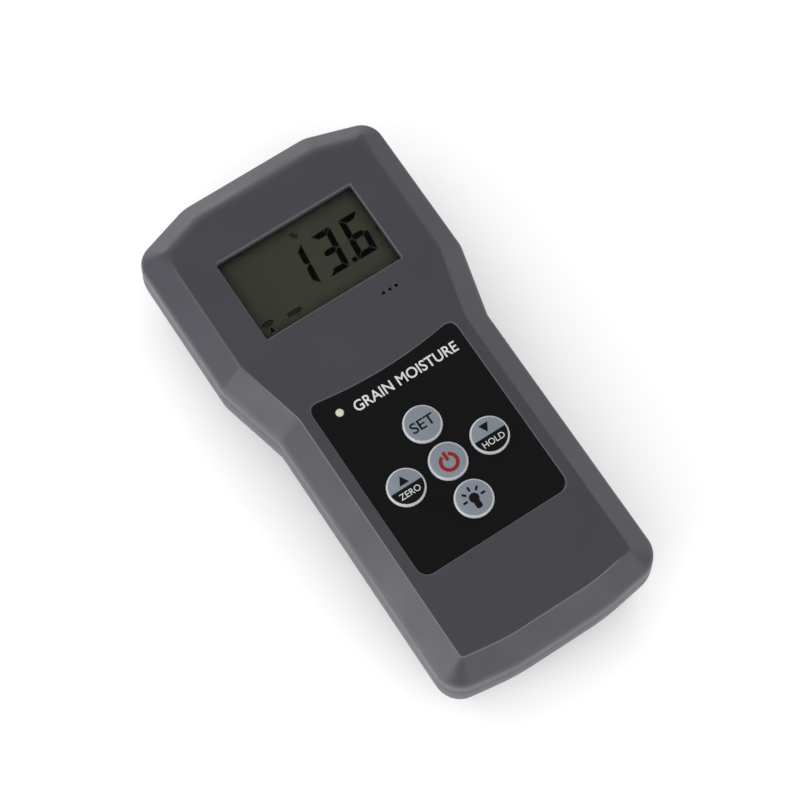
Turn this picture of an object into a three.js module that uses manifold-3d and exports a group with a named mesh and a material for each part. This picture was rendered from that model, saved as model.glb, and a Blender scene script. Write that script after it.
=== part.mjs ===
// Handheld grain moisture meter, as an assembly of separate pieces.
//
// Units are millimetres. The meter lies on its back: X runs across it, +Y points from the tail
// of the grip to the display head, and +Z points up out of the face. The origin is under the
// middle of the case, on the surface that the meter rests on.

import * as THREE from "three";
import { mergeVertices } from "three/addons/utils/BufferGeometryUtils.js";
import Module from "manifold-3d";

const wasm = await Module();
wasm.setup();

// ---------------------------------------------------------------- driving dimensions

const LENGTH = 155.6;
const HEAD_WIDTH = 77;
const GRIP_WIDTH = 66.6;
const FACE_Z = 34; // the flat front face
const KEY_TOP_Z = 34.7; // the highest point of the meter
const BEVEL_Z = 28; // foot of the sloping border round the face
const PARTING_Z = 23; // the two case halves meet here
const BACK_Z = 0.8; // the flat back of the case
const WALL = 2.2;
const GAP = 0.3; // air between two pieces that touch on the real object

// Case outline: how far the middle of each end runs straight, and how far its corners fall back.
const TAIL_FLAT = 14;
const TAIL_DROP = 2.9;
const HEAD_FLAT = 19.5;
const HEAD_DROP = 6.1;
const WAIST_LOW_Y = 6.5;
const WAIST_HIGH_Y = 27.1;
const BEVEL = { side: 7.1, head: 6.7, tail: 6.75 }; // how far in the face starts
const FOOT_INSET = 0.4; // the side walls lean in by this much at the foot of the border
const PARTING_INSET = 0.2; // and by this much where the halves meet

// Face features.
const WINDOW = { width: 42.8, height: 25.8, y: 43.6, corner: 0.6 };
const LABEL = { width: 45.1, bottom: -46.4, top: 8.65, sag: 1.8, corner: 3.2, depth: 0.7, sheet: 0.5 };
const LABEL_MARGIN = 0.25; // air round the film in its recess
const FILM_HOLE_MARGIN = 0.15; // air between the film and what comes up through it
const KEY_RADIUS = 5.3;
const KEY_EDGE = [[0, 0.55], [0.5, 0.1], [2, 0]]; // how far in and how far down its rounded edge passes
const KEY_FLANGE = { radius: 5.85, thickness: 1 };
const KEY_STEM = { radius: 2.4, length: 0.4 };
const KEY_CENTRE_Y = -23.7;
const KEY_PITCH = { x: 13, y: 12.1 };
const KEYS = {
  function: [0, KEY_PITCH.y],
  power: [0, 0],
  light: [0, -KEY_PITCH.y],
  zero: [-KEY_PITCH.x, 0],
  hold: [KEY_PITCH.x, 0],
};
const INDICATOR = { x: -16.3, y: 3, radius: 1.15 };
const SOUND_HOLES = { x: 13.7, y: 24.9, pitch: 2.03, radius: 0.48, count: 3 };

// Inside.
const BOARD = { top: 25.4, thickness: 1.6 };
const BOARD_UNDERSIDE = BOARD.top - BOARD.thickness;
const CEILING_Z = FACE_Z - 2.4; // inner side of the front face
const LCD = { width: 47.6, height: 30.8, corner: 0.4, bottom: 29.2, top: 31.3 };
const LCD_FRAME = { width: 50.6, height: 32.6, corner: 1 };
const BACKLIGHT = { width: 42, height: 24.5, corner: 0.6 };
const CONNECTOR = { width: 44, depth: 2.2, offset: 13.9 };
const BOARD_OUTLINE = [[26.5, -50], [26.5, 8], [31.5, 15], [31.5, 54], [27, 59.6]]; // right half
const CHIP = { width: 12, thickness: 1.6 };
const BUZZER = { radius: 4.4, port: 1, portDepth: 1.5, headroom: 0.4 };
const SWITCH = { size: 6, height: 3.4, bore: 1.95, travelRoom: 0.9 };
const PLUNGER = { radius: 1.6, low: 28, top: 29.6 };

// Screws, and the posts that they hold.
const CASE_SCREW = { head: 2.6, headHeight: 1.8, shank: 1.35, length: 20 };
const CASE_SCREWS = [[-22, 64], [22, 64], [-19.5, -6], [19.5, -6]];
const CASE_POST = { frontRadius: 3, backRadius: 3.75, hole: 1.7, well: 3, cover: 5 };
const BOARD_SCREW = { head: 1.9, headHeight: 1.2, shank: 0.9, length: 5.5 };
const BOARD_SCREWS = [[-28.5, 17.5], [28.5, 17.5], [-22.5, -46.5], [22.5, -46.5]];
const BOARD_POST = { radius: 2.4, hole: 1.2, cover: 4 };
const BOARD_HOLE_RADIUS = 1.3;
const SCREW_SEAT_Z = 8;
const ROOT = 0.2; // how far a post runs into the wall that it stands on

// Four AAA cells side by side in the grip, every second one turned round.
const CELL = { radius: 5.2, length: 44.5, pitch: 11.1, z: 9.2, edge: 0.5 };
const NUB = { radius: 1.9, height: 0.9, edge: 0.2 };
const SPRING = { length: 4.1, wire: 0.35, wide: 3.6, narrow: 2, turns: 3 };
const PLATE = { width: 8.8, height: 8.4, thickness: 0.5, standOff: 0.8 };
const BAY = { halfWidth: 22.5, tail: -65.5, head: -14.5, top: 14.9, sideWall: 3.2, headWall: 2.2, roof: 1.6 };
const DOOR = { halfWidth: 22.8, head: -12.6, inside: 3.4 };
const RAIL = { reach: 24, tail: -68.5, low: 2.3, top: 3.3 };
const DOOR_CLEARANCE = 0.2;
const RUNNER = { width: 5.5, length: 46, corner: 2.5, x: 14.5, y: -40, root: 0.4 };
const GRIP = { ribs: 5, width: 14, low: 0.25, tail: -62.5, pitch: 2.2, rib: 1.2 };

// The moisture sensor: two electrodes in an insulating carrier, in the back of the head.
const SENSOR = { width: 34, height: 31, corner: 2, y: 42, low: 0.4, flange: 2.5, flangeThickness: 1.5 };
const ELECTRODE = { width: 9, length: 25, corner: 1.5, x: 8.2, top: 1.6, pin: 1.2, pinHole: 1.5 };
const SENSOR_BOARD = { width: 30, height: 24, corner: 1, low: 8.8, thickness: 1.2 };
const SOCKET = { y: 12, low: 19.9, width: 8, depth: 5 };
const SENSOR_LEAD_RADIUS = 1.1;
const BATTERY_LEAD = { radius: 0.8, x: 12 };

// ---------------------------------------------------------------- materials

const material = (color, roughness, metalness = 0, extra = {}) =>
  new THREE.MeshStandardMaterial({ color, roughness, metalness, ...extra });

const MATERIALS = {
  casing: material(0x55565c, 0.55),
  label: material(0x111112, 0.4),
  key: material(0xa9adb6, 0.35),
  clear: material(0xd8e0dc, 0.08, 0, { transparent: true, opacity: 0.35 }),
  lcd: material(0x3c3f31, 0.2),
  whitePlastic: material(0xe4e4df, 0.5),
  blackPlastic: material(0x1b1b1d, 0.5),
  rubber: material(0x2a2a2c, 0.8),
  board: material(0x1d5a34, 0.45),
  chip: material(0x141416, 0.5),
  steel: material(0xbfc1c4, 0.3, 1),
  cell: material(0x27402f, 0.35),
  redWire: material(0xb3201c, 0.5),
  blackWire: material(0x161616, 0.5),
};

// ---------------------------------------------------------------- solids

/** A closed geometry as a manifold-3d solid. */
function solid(geometry) {
  const bare = new THREE.BufferGeometry();
  bare.setAttribute("position", geometry.getAttribute("position"));
  bare.setIndex(geometry.getIndex());
  const merged = mergeVertices(bare, 1e-4);
  return new wasm.Manifold(
    new wasm.Mesh({
      numProp: 3,
      vertProperties: merged.attributes.position.array,
      triVerts: new Uint32Array(merged.index.array),
    }),
  );
}

/** A manifold-3d solid as a geometry. */
function geometryOf(body) {
  const mesh = body.getMesh();
  const geometry = new THREE.BufferGeometry();
  geometry.setAttribute("position", new THREE.BufferAttribute(mesh.vertProperties, 3));
  geometry.setIndex(new THREE.BufferAttribute(mesh.triVerts, 1));
  geometry.computeVertexNormals();
  return geometry;
}

const unite = (first, ...others) => others.reduce((whole, next) => whole.add(next), first);
const cut = (first, ...others) => others.reduce((whole, next) => whole.subtract(next), first);

/** A box from its lowest to its highest corner. */
function block([x0, y0, z0], [x1, y1, z1]) {
  const box = new THREE.BoxGeometry(x1 - x0, y1 - y0, z1 - z0);
  box.translate((x0 + x1) / 2, (y0 + y1) / 2, (z0 + z1) / 2);
  return box;
}

/** An upright cylinder from z0 to z1. */
function post(radius, z0, z1, x = 0, y = 0, sides = 16) {
  const cylinder = new THREE.CylinderGeometry(radius, radius, z1 - z0, sides);
  cylinder.rotateX(Math.PI / 2);
  cylinder.translate(x, y, (z0 + z1) / 2);
  return cylinder;
}

/** A flat shape pulled up from z0 to z1. */
function prism(shape, z0, z1, curveSegments = 4) {
  const body = new THREE.ExtrudeGeometry(shape, { depth: z1 - z0, bevelEnabled: false, curveSegments });
  body.translate(0, 0, z0);
  return body;
}

/** A profile of [radius, z] pairs turned round the Z axis. */
function turned(profile, sides = 20) {
  const body = new THREE.LatheGeometry(profile.map(([r, z]) => new THREE.Vector2(r, z)), sides);
  body.rotateX(Math.PI / 2);
  return body;
}

function roundedRectangle(width, height, corner, x = 0, y = 0) {
  const [w, h, quarter] = [width / 2 - corner, height / 2 - corner, Math.PI / 2];
  const shape = new THREE.Shape();
  shape.absarc(x + w, y + h, corner, 0, quarter);
  shape.absarc(x - w, y + h, corner, quarter, 2 * quarter);
  shape.absarc(x - w, y - h, corner, 2 * quarter, 3 * quarter);
  shape.absarc(x + w, y - h, corner, 3 * quarter, 4 * quarter);
  return shape;
}

/** A closed body through a stack of outlines with equal numbers of points, given from low to high. */
function loft(rings) {
  const count = rings[0].points.length;
  const positions = rings.flatMap(({ z, points }) => points.flatMap((p) => [p.x, p.y, z]));
  const indices = [];
  for (let ring = 0; ring + 1 < rings.length; ring++) {
    for (let i = 0; i < count; i++) {
      const [a, b] = [ring * count + i, ring * count + ((i + 1) % count)];
      indices.push(a, b, b + count, a, b + count, a + count);
    }
  }
  const top = (rings.length - 1) * count;
  for (const [a, b, c] of THREE.ShapeUtils.triangulateShape(rings[0].points, [])) indices.push(c, b, a);
  for (const [a, b, c] of THREE.ShapeUtils.triangulateShape(rings.at(-1).points, [])) {
    indices.push(top + a, top + b, top + c);
  }
  const body = new THREE.BufferGeometry();
  body.setAttribute("position", new THREE.Float32BufferAttribute(positions, 3));
  body.setIndex(indices);
  return body;
}

/** A round bar along a curve. */
function bar(curve, radius, steps, sides = 6) {
  const section = new THREE.Shape();
  section.absarc(0, 0, radius, 0, 2 * Math.PI);
  return new THREE.ExtrudeGeometry(section, {
    steps,
    extrudePath: curve,
    curveSegments: sides / 2,
    bevelEnabled: false,
  });
}

// ---------------------------------------------------------------- case outline

// Corners of the right half at the parting line, from tail to head. Each edge is named after the
// border that it belongs to, and runs from its own corner to the next one.
const CORNERS = [
  { x: TAIL_FLAT, y: -LENGTH / 2, radius: 60, steps: 3, edge: "tail" },
  { x: GRIP_WIDTH / 2, y: -LENGTH / 2 + TAIL_DROP, radius: 7.8, steps: 5, edge: "side" },
  { x: GRIP_WIDTH / 2, y: WAIST_LOW_Y, radius: 6, steps: 3, edge: "side" },
  { x: HEAD_WIDTH / 2, y: WAIST_HIGH_Y, radius: 9, steps: 3, edge: "side" },
  { x: HEAD_WIDTH / 2, y: LENGTH / 2 - HEAD_DROP, radius: 7, steps: 5, edge: "head" },
  { x: HEAD_FLAT, y: LENGTH / 2, radius: 12, steps: 2, edge: "head" },
];
const SMALLEST_CORNER = 0.8;

/** The whole outline as corners, with the left half mirrored from the right. */
function wholeOutline() {
  const left = CORNERS.map((corner, i) => ({
    ...corner,
    x: -corner.x,
    edge: i > 0 ? CORNERS[i - 1].edge : "tail",
  }));
  return [...CORNERS, ...left.reverse()];
}

/** Where two lines meet, each given by a point and a direction. */
function meeting(p, u, q, v) {
  const t = new THREE.Vector2().subVectors(q, p).cross(v) / u.cross(v);
  return p.clone().addScaledVector(u, t);
}

/** The case outline moved inwards. An inset is one number, or one for each border. */
function caseOutline(inset) {
  const by = typeof inset === "number" ? { side: inset, head: inset, tail: inset } : inset;
  const corners = wholeOutline();
  const count = corners.length;
  const edges = corners.map((corner, i) => {
    const next = corners[(i + 1) % count];
    const along = new THREE.Vector2(next.x - corner.x, next.y - corner.y).normalize();
    const start = new THREE.Vector2(corner.x, corner.y);
    start.add(new THREE.Vector2(-along.y, along.x).multiplyScalar(by[corner.edge]));
    return { start, along };
  });
  return corners.flatMap((corner, i) => {
    const [before, after] = [edges[(i + count - 1) % count], edges[i]];
    const tip = meeting(before.start, before.along, after.start, after.along);
    const turn = Math.atan2(before.along.cross(after.along), before.along.dot(after.along));
    const radius = Math.max(SMALLEST_CORNER, corner.radius - Math.sign(turn) * by[corner.edge]);
    const reach = radius * Math.tan(Math.abs(turn) / 2);
    const centre = tip.clone().addScaledVector(before.along, -reach);
    centre.addScaledVector(new THREE.Vector2(-before.along.y, before.along.x), Math.sign(turn) * radius);
    const first = Math.atan2(before.along.y, before.along.x) - (Math.sign(turn) * Math.PI) / 2;
    return Array.from({ length: corner.steps + 1 }, (_, k) => {
      const angle = first + (turn * k) / corner.steps;
      return new THREE.Vector2(centre.x + radius * Math.cos(angle), centre.y + radius * Math.sin(angle));
    });
  });
}

const ring = (z, inset) => ({ z, points: caseOutline(inset) });

/** The bevel's inset with the same wall added on every border. */
const bevelInset = (wall = 0) => ({
  side: BEVEL.side + wall,
  head: BEVEL.head + wall,
  tail: BEVEL.tail + wall,
});

/** The solid shape of the front half, before it is hollowed. */
const frontBody = () =>
  solid(loft([ring(PARTING_Z, PARTING_INSET), ring(BEVEL_Z, FOOT_INSET), ring(FACE_Z, bevelInset())]));

// The rounded flank of the back half, as [z, inset] pairs from the parting line down.
const BACK_FLANK = [
  [PARTING_Z - GAP, PARTING_INSET],
  [18, 0],
  [13, 0.7],
  [8.5, 2],
  [5, 3.6],
  [2.6, 5.4],
  [BACK_Z, 7.8],
];
const backBody = () => solid(loft(BACK_FLANK.map(([z, inset]) => ring(z, inset)).reverse()));

// The lip of the front half reaches down inside the rim of the back half.
const LIP = { low: PARTING_Z - 1.6, outer: 1.4, inner: 2.3, root: 0.5 };

// The inside of the back half, as [z, inset] pairs from the floor up.
const BACK_CAVITY = [
  [BACK_Z + WALL, 11],
  [5.2, 6.8],
  [9, 4.5],
  [14, 3],
  [LIP.low - GAP, PARTING_INSET + WALL],
  [PARTING_Z + 1, PARTING_INSET + WALL],
];

// The inside of the front half, up to the ceiling behind the face.
const FRONT_CAVITY = [
  [LIP.low - 1, PARTING_INSET + WALL],
  [BEVEL_Z - 0.9, FOOT_INSET + WALL],
  [CEILING_Z, bevelInset(1.4)],
];
const cavity = (profile) => solid(loft(profile.map(([z, inset]) => ring(z, inset))));

// ---------------------------------------------------------------- case

/** The recess for the label: straight sides, round corners and a top edge that sags in the middle. */
function labelShape(grow = 0) {
  const { corner, sag } = LABEL;
  const [w, low, high] = [LABEL.width / 2 + grow, LABEL.bottom - grow, LABEL.top + grow];
  const shape = new THREE.Shape();
  shape.moveTo(-w + corner, low);
  shape.absarc(w - corner, low + corner, corner, -Math.PI / 2, 0);
  shape.lineTo(w, high - corner);
  shape.quadraticCurveTo(w, high, w - corner, high - sag / 4);
  shape.quadraticCurveTo(0, high - 2 * sag, -w + corner, high - sag / 4);
  shape.quadraticCurveTo(-w, high, -w, high - corner);
  shape.absarc(-w + corner, low + corner, corner, Math.PI, 1.5 * Math.PI);
  return shape;
}

const keyPlaces = Object.values(KEYS).map(([x, y]) => [x, KEY_CENTRE_Y + y]);
const soundHolePlaces = Array.from({ length: SOUND_HOLES.count }, (_, i) => [
  SOUND_HOLES.x + (i - (SOUND_HOLES.count - 1) / 2) * SOUND_HOLES.pitch,
  SOUND_HOLES.y,
]);

const posts = (places, radius, low, high, sides) =>
  places.map(([x, y]) => post(radius, low, high, x, y, sides));

/** The opening for the window, made wider all round by a margin. */
const windowShape = (margin = 0) =>
  roundedRectangle(WINDOW.width + 2 * margin, WINDOW.height + 2 * margin, WINDOW.corner, 0, WINDOW.y);

function frontShell() {
  const lip = cut(
    solid(loft([ring(LIP.low, LIP.outer), ring(PARTING_Z + LIP.root, LIP.outer)])),
    solid(loft([ring(LIP.low - 1, LIP.inner), ring(PARTING_Z + 1, LIP.inner)])),
  );
  const columns = [
    ...posts(CASE_SCREWS, CASE_POST.frontRadius, PARTING_Z, CEILING_Z + ROOT, 16),
    ...posts(BOARD_SCREWS, BOARD_POST.radius, BOARD.top + GAP, CEILING_Z + ROOT, 12),
  ];
  const behindFace = CEILING_Z - 1;
  const holes = [
    prism(windowShape(), behindFace, FACE_Z + 1),
    prism(windowShape(LENS.margin + GAP), behindFace, LENS.shoulder + GAP),
    prism(labelShape(LABEL_MARGIN), FACE_Z - LABEL.depth, FACE_Z + 1, 6),
    ...posts([[INDICATOR.x, INDICATOR.y]], INDICATOR.radius + LABEL_MARGIN, behindFace, FACE_Z, 12),
    ...posts(keyPlaces, KEY_RADIUS + GAP, behindFace, FACE_Z, 24),
    ...posts(soundHolePlaces, SOUND_HOLES.radius, behindFace, FACE_Z + 1, 10),
    ...posts(CASE_SCREWS, CASE_POST.hole, PARTING_Z - 1, FACE_Z - CASE_POST.cover, 10),
    ...posts(BOARD_SCREWS, BOARD_POST.hole, BOARD.top, FACE_Z - BOARD_POST.cover, 8),
  ];
  const hollow = cut(frontBody(), cavity(FRONT_CAVITY));
  return geometryOf(cut(unite(hollow, lip, ...columns.map(solid)), ...holes.map(solid)));
}

/** The bay that holds the cells, as one block inside the back half. */
function bayBlock() {
  const side = BAY.halfWidth + BAY.sideWall;
  return solid(block([-side, -LENGTH / 2, BACK_Z], [side, BAY.head + BAY.headWall, BAY.top + BAY.roof]));
}

/** The space that the battery door slides in, out through the tail, as two blocks. */
function doorSpaces() {
  const [head, top] = [DOOR.head + GAP, DOOR.inside + DOOR_CLEARANCE];
  const [side, rail] = [DOOR.halfWidth + DOOR_CLEARANCE, RAIL.reach + GAP];
  return [
    block([-side, -LENGTH, -1], [side, head, top]),
    block([-rail, -LENGTH, RAIL.low - GAP], [rail, head, top]),
  ];
}

function backShell() {
  const edge = LIP.outer - GAP;
  const rebate = solid(loft([ring(LIP.low - GAP, edge), ring(PARTING_Z + 1, edge)]));
  const columns = posts(CASE_SCREWS, CASE_POST.backRadius, BACK_Z, PARTING_Z - GAP, 16).map(solid);
  const opening = [SENSOR.width + 2 * GAP, SENSOR.height + 2 * GAP, SENSOR.corner + GAP];
  const holes = [
    ...posts(CASE_SCREWS, CASE_POST.well, -1, SCREW_SEAT_Z, 16),
    ...posts(CASE_SCREWS, CASE_POST.hole, -1, PARTING_Z + 1, 10),
    block([-BAY.halfWidth, BAY.tail, -1], [BAY.halfWidth, BAY.head, BAY.top]),
    ...doorSpaces(),
    prism(roundedRectangle(...opening, 0, SENSOR.y), -1, BACK_Z + WALL + 1),
  ];
  const hollow = cut(backBody(), cavity(BACK_CAVITY), rebate);
  const filled = unite(hollow, backBody().intersect(bayBlock()), ...columns);
  return geometryOf(cut(filled, ...holes.map(solid)));
}

/** The sliding cover of the battery bay, with a rail on each side, two runners and a thumb grip. */
function batteryDoor() {
  const { halfWidth, head, inside } = DOOR;
  const { reach, tail, low, top } = RAIL;
  const plate = backBody().intersect(solid(block([-halfWidth, -LENGTH / 2, 0], [halfWidth, head, inside])));
  const rails = backBody().intersect(solid(block([-reach, tail, low], [reach, head, top])));
  const runners = [-RUNNER.x, RUNNER.x].map((x) =>
    prism(roundedRectangle(RUNNER.width, RUNNER.length, RUNNER.corner, x, RUNNER.y), 0, BACK_Z + RUNNER.root),
  );
  const ribs = Array.from({ length: GRIP.ribs }, (_, i) => {
    const y = GRIP.tail + GRIP.pitch * i;
    return block([-GRIP.width / 2, y, GRIP.low], [GRIP.width / 2, y + GRIP.rib, BACK_Z + RUNNER.root]);
  });
  return geometryOf(unite(plate, rails, ...[...runners, ...ribs].map(solid)));
}

function overlayLabel() {
  const top = FACE_Z - LABEL.depth + 0.05 + LABEL.sheet;
  const sheet = solid(prism(labelShape(), top - LABEL.sheet, top, 6));
  const holes = [
    ...posts(keyPlaces, KEY_RADIUS + FILM_HOLE_MARGIN, 0, FACE_Z + 1, 24),
    ...posts([[INDICATOR.x, INDICATOR.y]], INDICATOR.radius + FILM_HOLE_MARGIN, 0, FACE_Z + 1, 12),
  ];
  return geometryOf(cut(sheet, ...holes.map(solid)));
}

// ---------------------------------------------------------------- keys and switches

/** A key: domed cap, retaining flange and stem. Its own z is 0 at the front face. */
function keyCap() {
  const crown = KEY_TOP_Z - FACE_Z;
  const flangeTop = CEILING_Z - FACE_Z - GAP;
  const flangeLow = flangeTop - KEY_FLANGE.thickness;
  const stemEnd = flangeLow - KEY_STEM.length;
  return turned([
    [0, stemEnd],
    [KEY_STEM.radius, stemEnd],
    [KEY_STEM.radius, flangeLow],
    [KEY_FLANGE.radius, flangeLow],
    [KEY_FLANGE.radius, flangeTop],
    [KEY_RADIUS, flangeTop],
    ...KEY_EDGE.map(([inwards, down]) => [KEY_RADIUS - inwards, crown - down]),
    [0, crown],
  ]);
}

function switchBody() {
  const { size, height, bore, travelRoom } = SWITCH;
  const low = BOARD.top + GAP;
  const body = solid(block([-size / 2, -size / 2, low], [size / 2, size / 2, low + height]));
  return geometryOf(cut(body, solid(post(bore, PLUNGER.low - travelRoom, FACE_Z, 0, 0, 12))));
}

const switchPlunger = () => post(PLUNGER.radius, PLUNGER.low, PLUNGER.top, 0, 0, 12);

// ---------------------------------------------------------------- display

const LCD_SEAT = { low: BOARD.top + GAP, high: LCD.bottom - GAP };
const LENS = { low: LCD.top + GAP, shoulder: 32.5, top: FACE_Z - 0.7, margin: 2 };

function lcdFrame() {
  const { width, height, corner } = LCD_FRAME;
  const outer = prism(roundedRectangle(width, height, corner, 0, WINDOW.y), LCD_SEAT.low, LCD.top);
  const opening = [LCD.width + 2 * GAP, LCD.height + 2 * GAP, LCD.corner];
  return geometryOf(cut(solid(outer), solid(prism(roundedRectangle(...opening, 0, WINDOW.y), 0, FACE_Z))));
}

const lcdGlass = () =>
  prism(roundedRectangle(LCD.width, LCD.height, LCD.corner, 0, WINDOW.y), LCD.bottom, LCD.top, 1);

/** The clear window: a plate behind the face with a raised pane that fills the opening. */
function lcdLens() {
  const plate = prism(windowShape(LENS.margin), LENS.low, LENS.shoulder, 2);
  const pane = prism(windowShape(-GAP), LENS.low, LENS.top, 2);
  return geometryOf(unite(solid(plate), solid(pane)));
}

function lcdBacklight() {
  const { width, height, corner } = BACKLIGHT;
  return prism(roundedRectangle(width, height, corner, 0, WINDOW.y), LCD_SEAT.low, LCD_SEAT.high, 2);
}

/** A rubber connector bar along one edge of the glass. Side is 1 at the head and -1 at the tail. */
function lcdConnector(side) {
  const y = WINDOW.y + side * CONNECTOR.offset;
  const [halfWidth, halfDepth] = [CONNECTOR.width / 2, CONNECTOR.depth / 2];
  return block([-halfWidth, y - halfDepth, LCD_SEAT.low], [halfWidth, y + halfDepth, LCD_SEAT.high]);
}

// ---------------------------------------------------------------- boards and components

function mainBoard() {
  const left = BOARD_OUTLINE.map(([x, y]) => [-x, y]).reverse();
  const outline = new THREE.Shape([...BOARD_OUTLINE, ...left].map(([x, y]) => new THREE.Vector2(x, y)));
  const holes = [
    ...posts(CASE_SCREWS.slice(2), CASE_POST.frontRadius + 0.5, 0, FACE_Z, 16),
    ...posts(BOARD_SCREWS, BOARD_HOLE_RADIUS, 0, FACE_Z, 10),
  ];
  return geometryOf(cut(solid(prism(outline, BOARD_UNDERSIDE, BOARD.top)), ...holes.map(solid)));
}

/** A piezo sounder: a round can with its port in the lid. */
function buzzer() {
  const { radius, port, portDepth, headroom } = BUZZER;
  const [low, high] = [BOARD.top + GAP, CEILING_Z - headroom];
  const profile = [[0, low], [radius, low], [radius, high], [port, high]];
  return turned([...profile, [port, high - portDepth], [0, high - portDepth]], 18);
}

const indicatorLed = () => post(INDICATOR.radius, BOARD.top + GAP, FACE_Z - 0.1, 0, 0, 12);

/** A pan-head screw pointing up, with a cross recess. Its own z is 0 under the head. */
function screw({ head, headHeight, shank, length }) {
  const profile = [
    [0, -headHeight],
    [head * 0.75, -headHeight],
    [head, -headHeight / 2],
    [head, 0],
    [shank, 0],
    [shank, length - shank],
    [0, length],
  ];
  const [reach, slot, low, bottom] = [head * 0.55, head * 0.14, -headHeight - 1, -headHeight * 0.4];
  const cross = [
    block([-reach, -slot, low], [reach, slot, bottom]),
    block([-slot, -reach, low], [slot, reach, bottom]),
  ];
  return geometryOf(cut(solid(turned(profile, 12)), ...cross.map(solid)));
}

// ---------------------------------------------------------------- battery bay contents

/** An AAA cell along Y, with its positive end towards +Y and its own y 0 at the negative end. */
function cell() {
  const { radius, length, edge } = CELL;
  const shoulder = length - NUB.height;
  const profile = [
    [0, 0],
    [radius - edge, 0],
    [radius, edge],
    [radius, shoulder - edge],
    [radius - edge, shoulder],
    [NUB.radius, shoulder],
    [NUB.radius, length - NUB.edge],
    [NUB.radius - NUB.edge, length],
    [0, length],
  ];
  return new THREE.LatheGeometry(profile.map(([r, y]) => new THREE.Vector2(r, y)), 20);
}

/** The centre line of a conical spring along +Y, wide end first. */
class SpringCurve extends THREE.Curve {
  getPoint(t, target = new THREE.Vector3()) {
    const angle = 2 * Math.PI * SPRING.turns * t;
    const radius = THREE.MathUtils.lerp(SPRING.wide, SPRING.narrow, t);
    const y = THREE.MathUtils.lerp(SPRING.wire, SPRING.length - SPRING.wire, t);
    return target.set(radius * Math.cos(angle), y, radius * Math.sin(angle));
  }
}

const cellSpring = () => bar(new SpringCurve(), SPRING.wire, 9 * SPRING.turns);

function contactPlate() {
  const { width, height, thickness } = PLATE;
  return block([-width / 2, 0, -height / 2], [width / 2, thickness, height / 2]);
}

// ---------------------------------------------------------------- sensor

function sensorElectrode() {
  const { width, length, corner, top, pin } = ELECTRODE;
  const strip = solid(prism(roundedRectangle(width, length, corner), 0, top));
  return geometryOf(unite(strip, solid(post(pin, top / 2, SENSOR_BOARD.low - GAP, 0, 0, 12))));
}

function sensorCarrier() {
  const { width, height, corner, y, low, flange, flangeThickness } = SENSOR;
  const floor = BACK_Z + WALL;
  const brim = [width + 2 * flange, height + 2 * flange];
  const block = [
    prism(roundedRectangle(width, height, corner, 0, y), low, floor + 1),
    prism(roundedRectangle(...brim, corner, 0, y), floor + GAP, floor + GAP + flangeThickness),
  ];
  const room = [ELECTRODE.width + 0.5, ELECTRODE.length + 0.5, ELECTRODE.corner + 0.2];
  const pockets = [-ELECTRODE.x, ELECTRODE.x].flatMap((x) => [
    prism(roundedRectangle(...room, x, y), -1, ELECTRODE.top + 0.2),
    post(ELECTRODE.pinHole, 0, SENSOR_BOARD.low, x, y, 12),
  ]);
  return geometryOf(cut(unite(...block.map(solid)), ...pockets.map(solid)));
}

function sensorBoard() {
  const { width, height, corner, low, thickness } = SENSOR_BOARD;
  return prism(roundedRectangle(width, height, corner, 0, SENSOR.y), low, low + thickness, 2);
}

const sensorSocket = () =>
  block(
    [-SOCKET.width / 2, SOCKET.y - SOCKET.depth / 2, SOCKET.low],
    [SOCKET.width / 2, SOCKET.y + SOCKET.depth / 2, BOARD_UNDERSIDE - GAP],
  );

const smooth = (...points) => new THREE.CatmullRomCurve3(points.map((p) => new THREE.Vector3(...p)));

/** The screened lead from the sensor board up to its socket. */
function sensorLead() {
  const start = SENSOR_BOARD.low + SENSOR_BOARD.thickness + GAP;
  const end = SOCKET.y + SOCKET.depth / 2 + GAP;
  const height = (SOCKET.low + BOARD_UNDERSIDE - GAP) / 2;
  const path = smooth([0, 34, start], [0, 34, 14], [0, 30, 19], [0, 22, height - 0.3], [0, end, height]);
  return bar(path, SENSOR_LEAD_RADIUS, 10);
}

/** A battery lead from the bay's head wall up to the underside of the main board. */
function batteryLead() {
  const wall = BAY.head + BAY.headWall + GAP;
  const end = BOARD_UNDERSIDE - GAP;
  const path = smooth([0, wall, 11], [0, wall + 4, 11.5], [0, wall + 8, 16], [0, wall + 9, end]);
  return bar(path, BATTERY_LEAD.radius, 10);
}

// ---------------------------------------------------------------- assembly

const meter = new THREE.Group();

function group(name) {
  const made = new THREE.Group();
  made.name = name;
  meter.add(made);
  return made;
}

function piece(parent, name, geometry, finish, place = [0, 0, 0], turnZ = 0) {
  const mesh = new THREE.Mesh(geometry, MATERIALS[finish]);
  mesh.name = name;
  mesh.position.set(...place);
  mesh.rotation.z = turnZ;
  parent.add(mesh);
  return mesh;
}

function buildCase() {
  const parts = group("case_parts");
  piece(parts, "front_shell", frontShell(), "casing");
  piece(parts, "back_shell", backShell(), "casing");
  piece(parts, "battery_door", batteryDoor(), "casing");
  piece(parts, "overlay_label", overlayLabel(), "label");
  CASE_SCREWS.forEach(([x, y], i) =>
    piece(parts, `case_screw_${i + 1}`, screw(CASE_SCREW), "steel", [x, y, SCREW_SEAT_Z - GAP]),
  );
}

function buildDisplay() {
  const parts = group("display");
  piece(parts, "lcd_lens", lcdLens(), "clear");
  piece(parts, "lcd_glass", lcdGlass(), "lcd");
  piece(parts, "lcd_frame", lcdFrame(), "blackPlastic");
  piece(parts, "lcd_backlight", lcdBacklight(), "whitePlastic");
  piece(parts, "lcd_connector_head", lcdConnector(1), "rubber");
  piece(parts, "lcd_connector_tail", lcdConnector(-1), "rubber");
}

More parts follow.
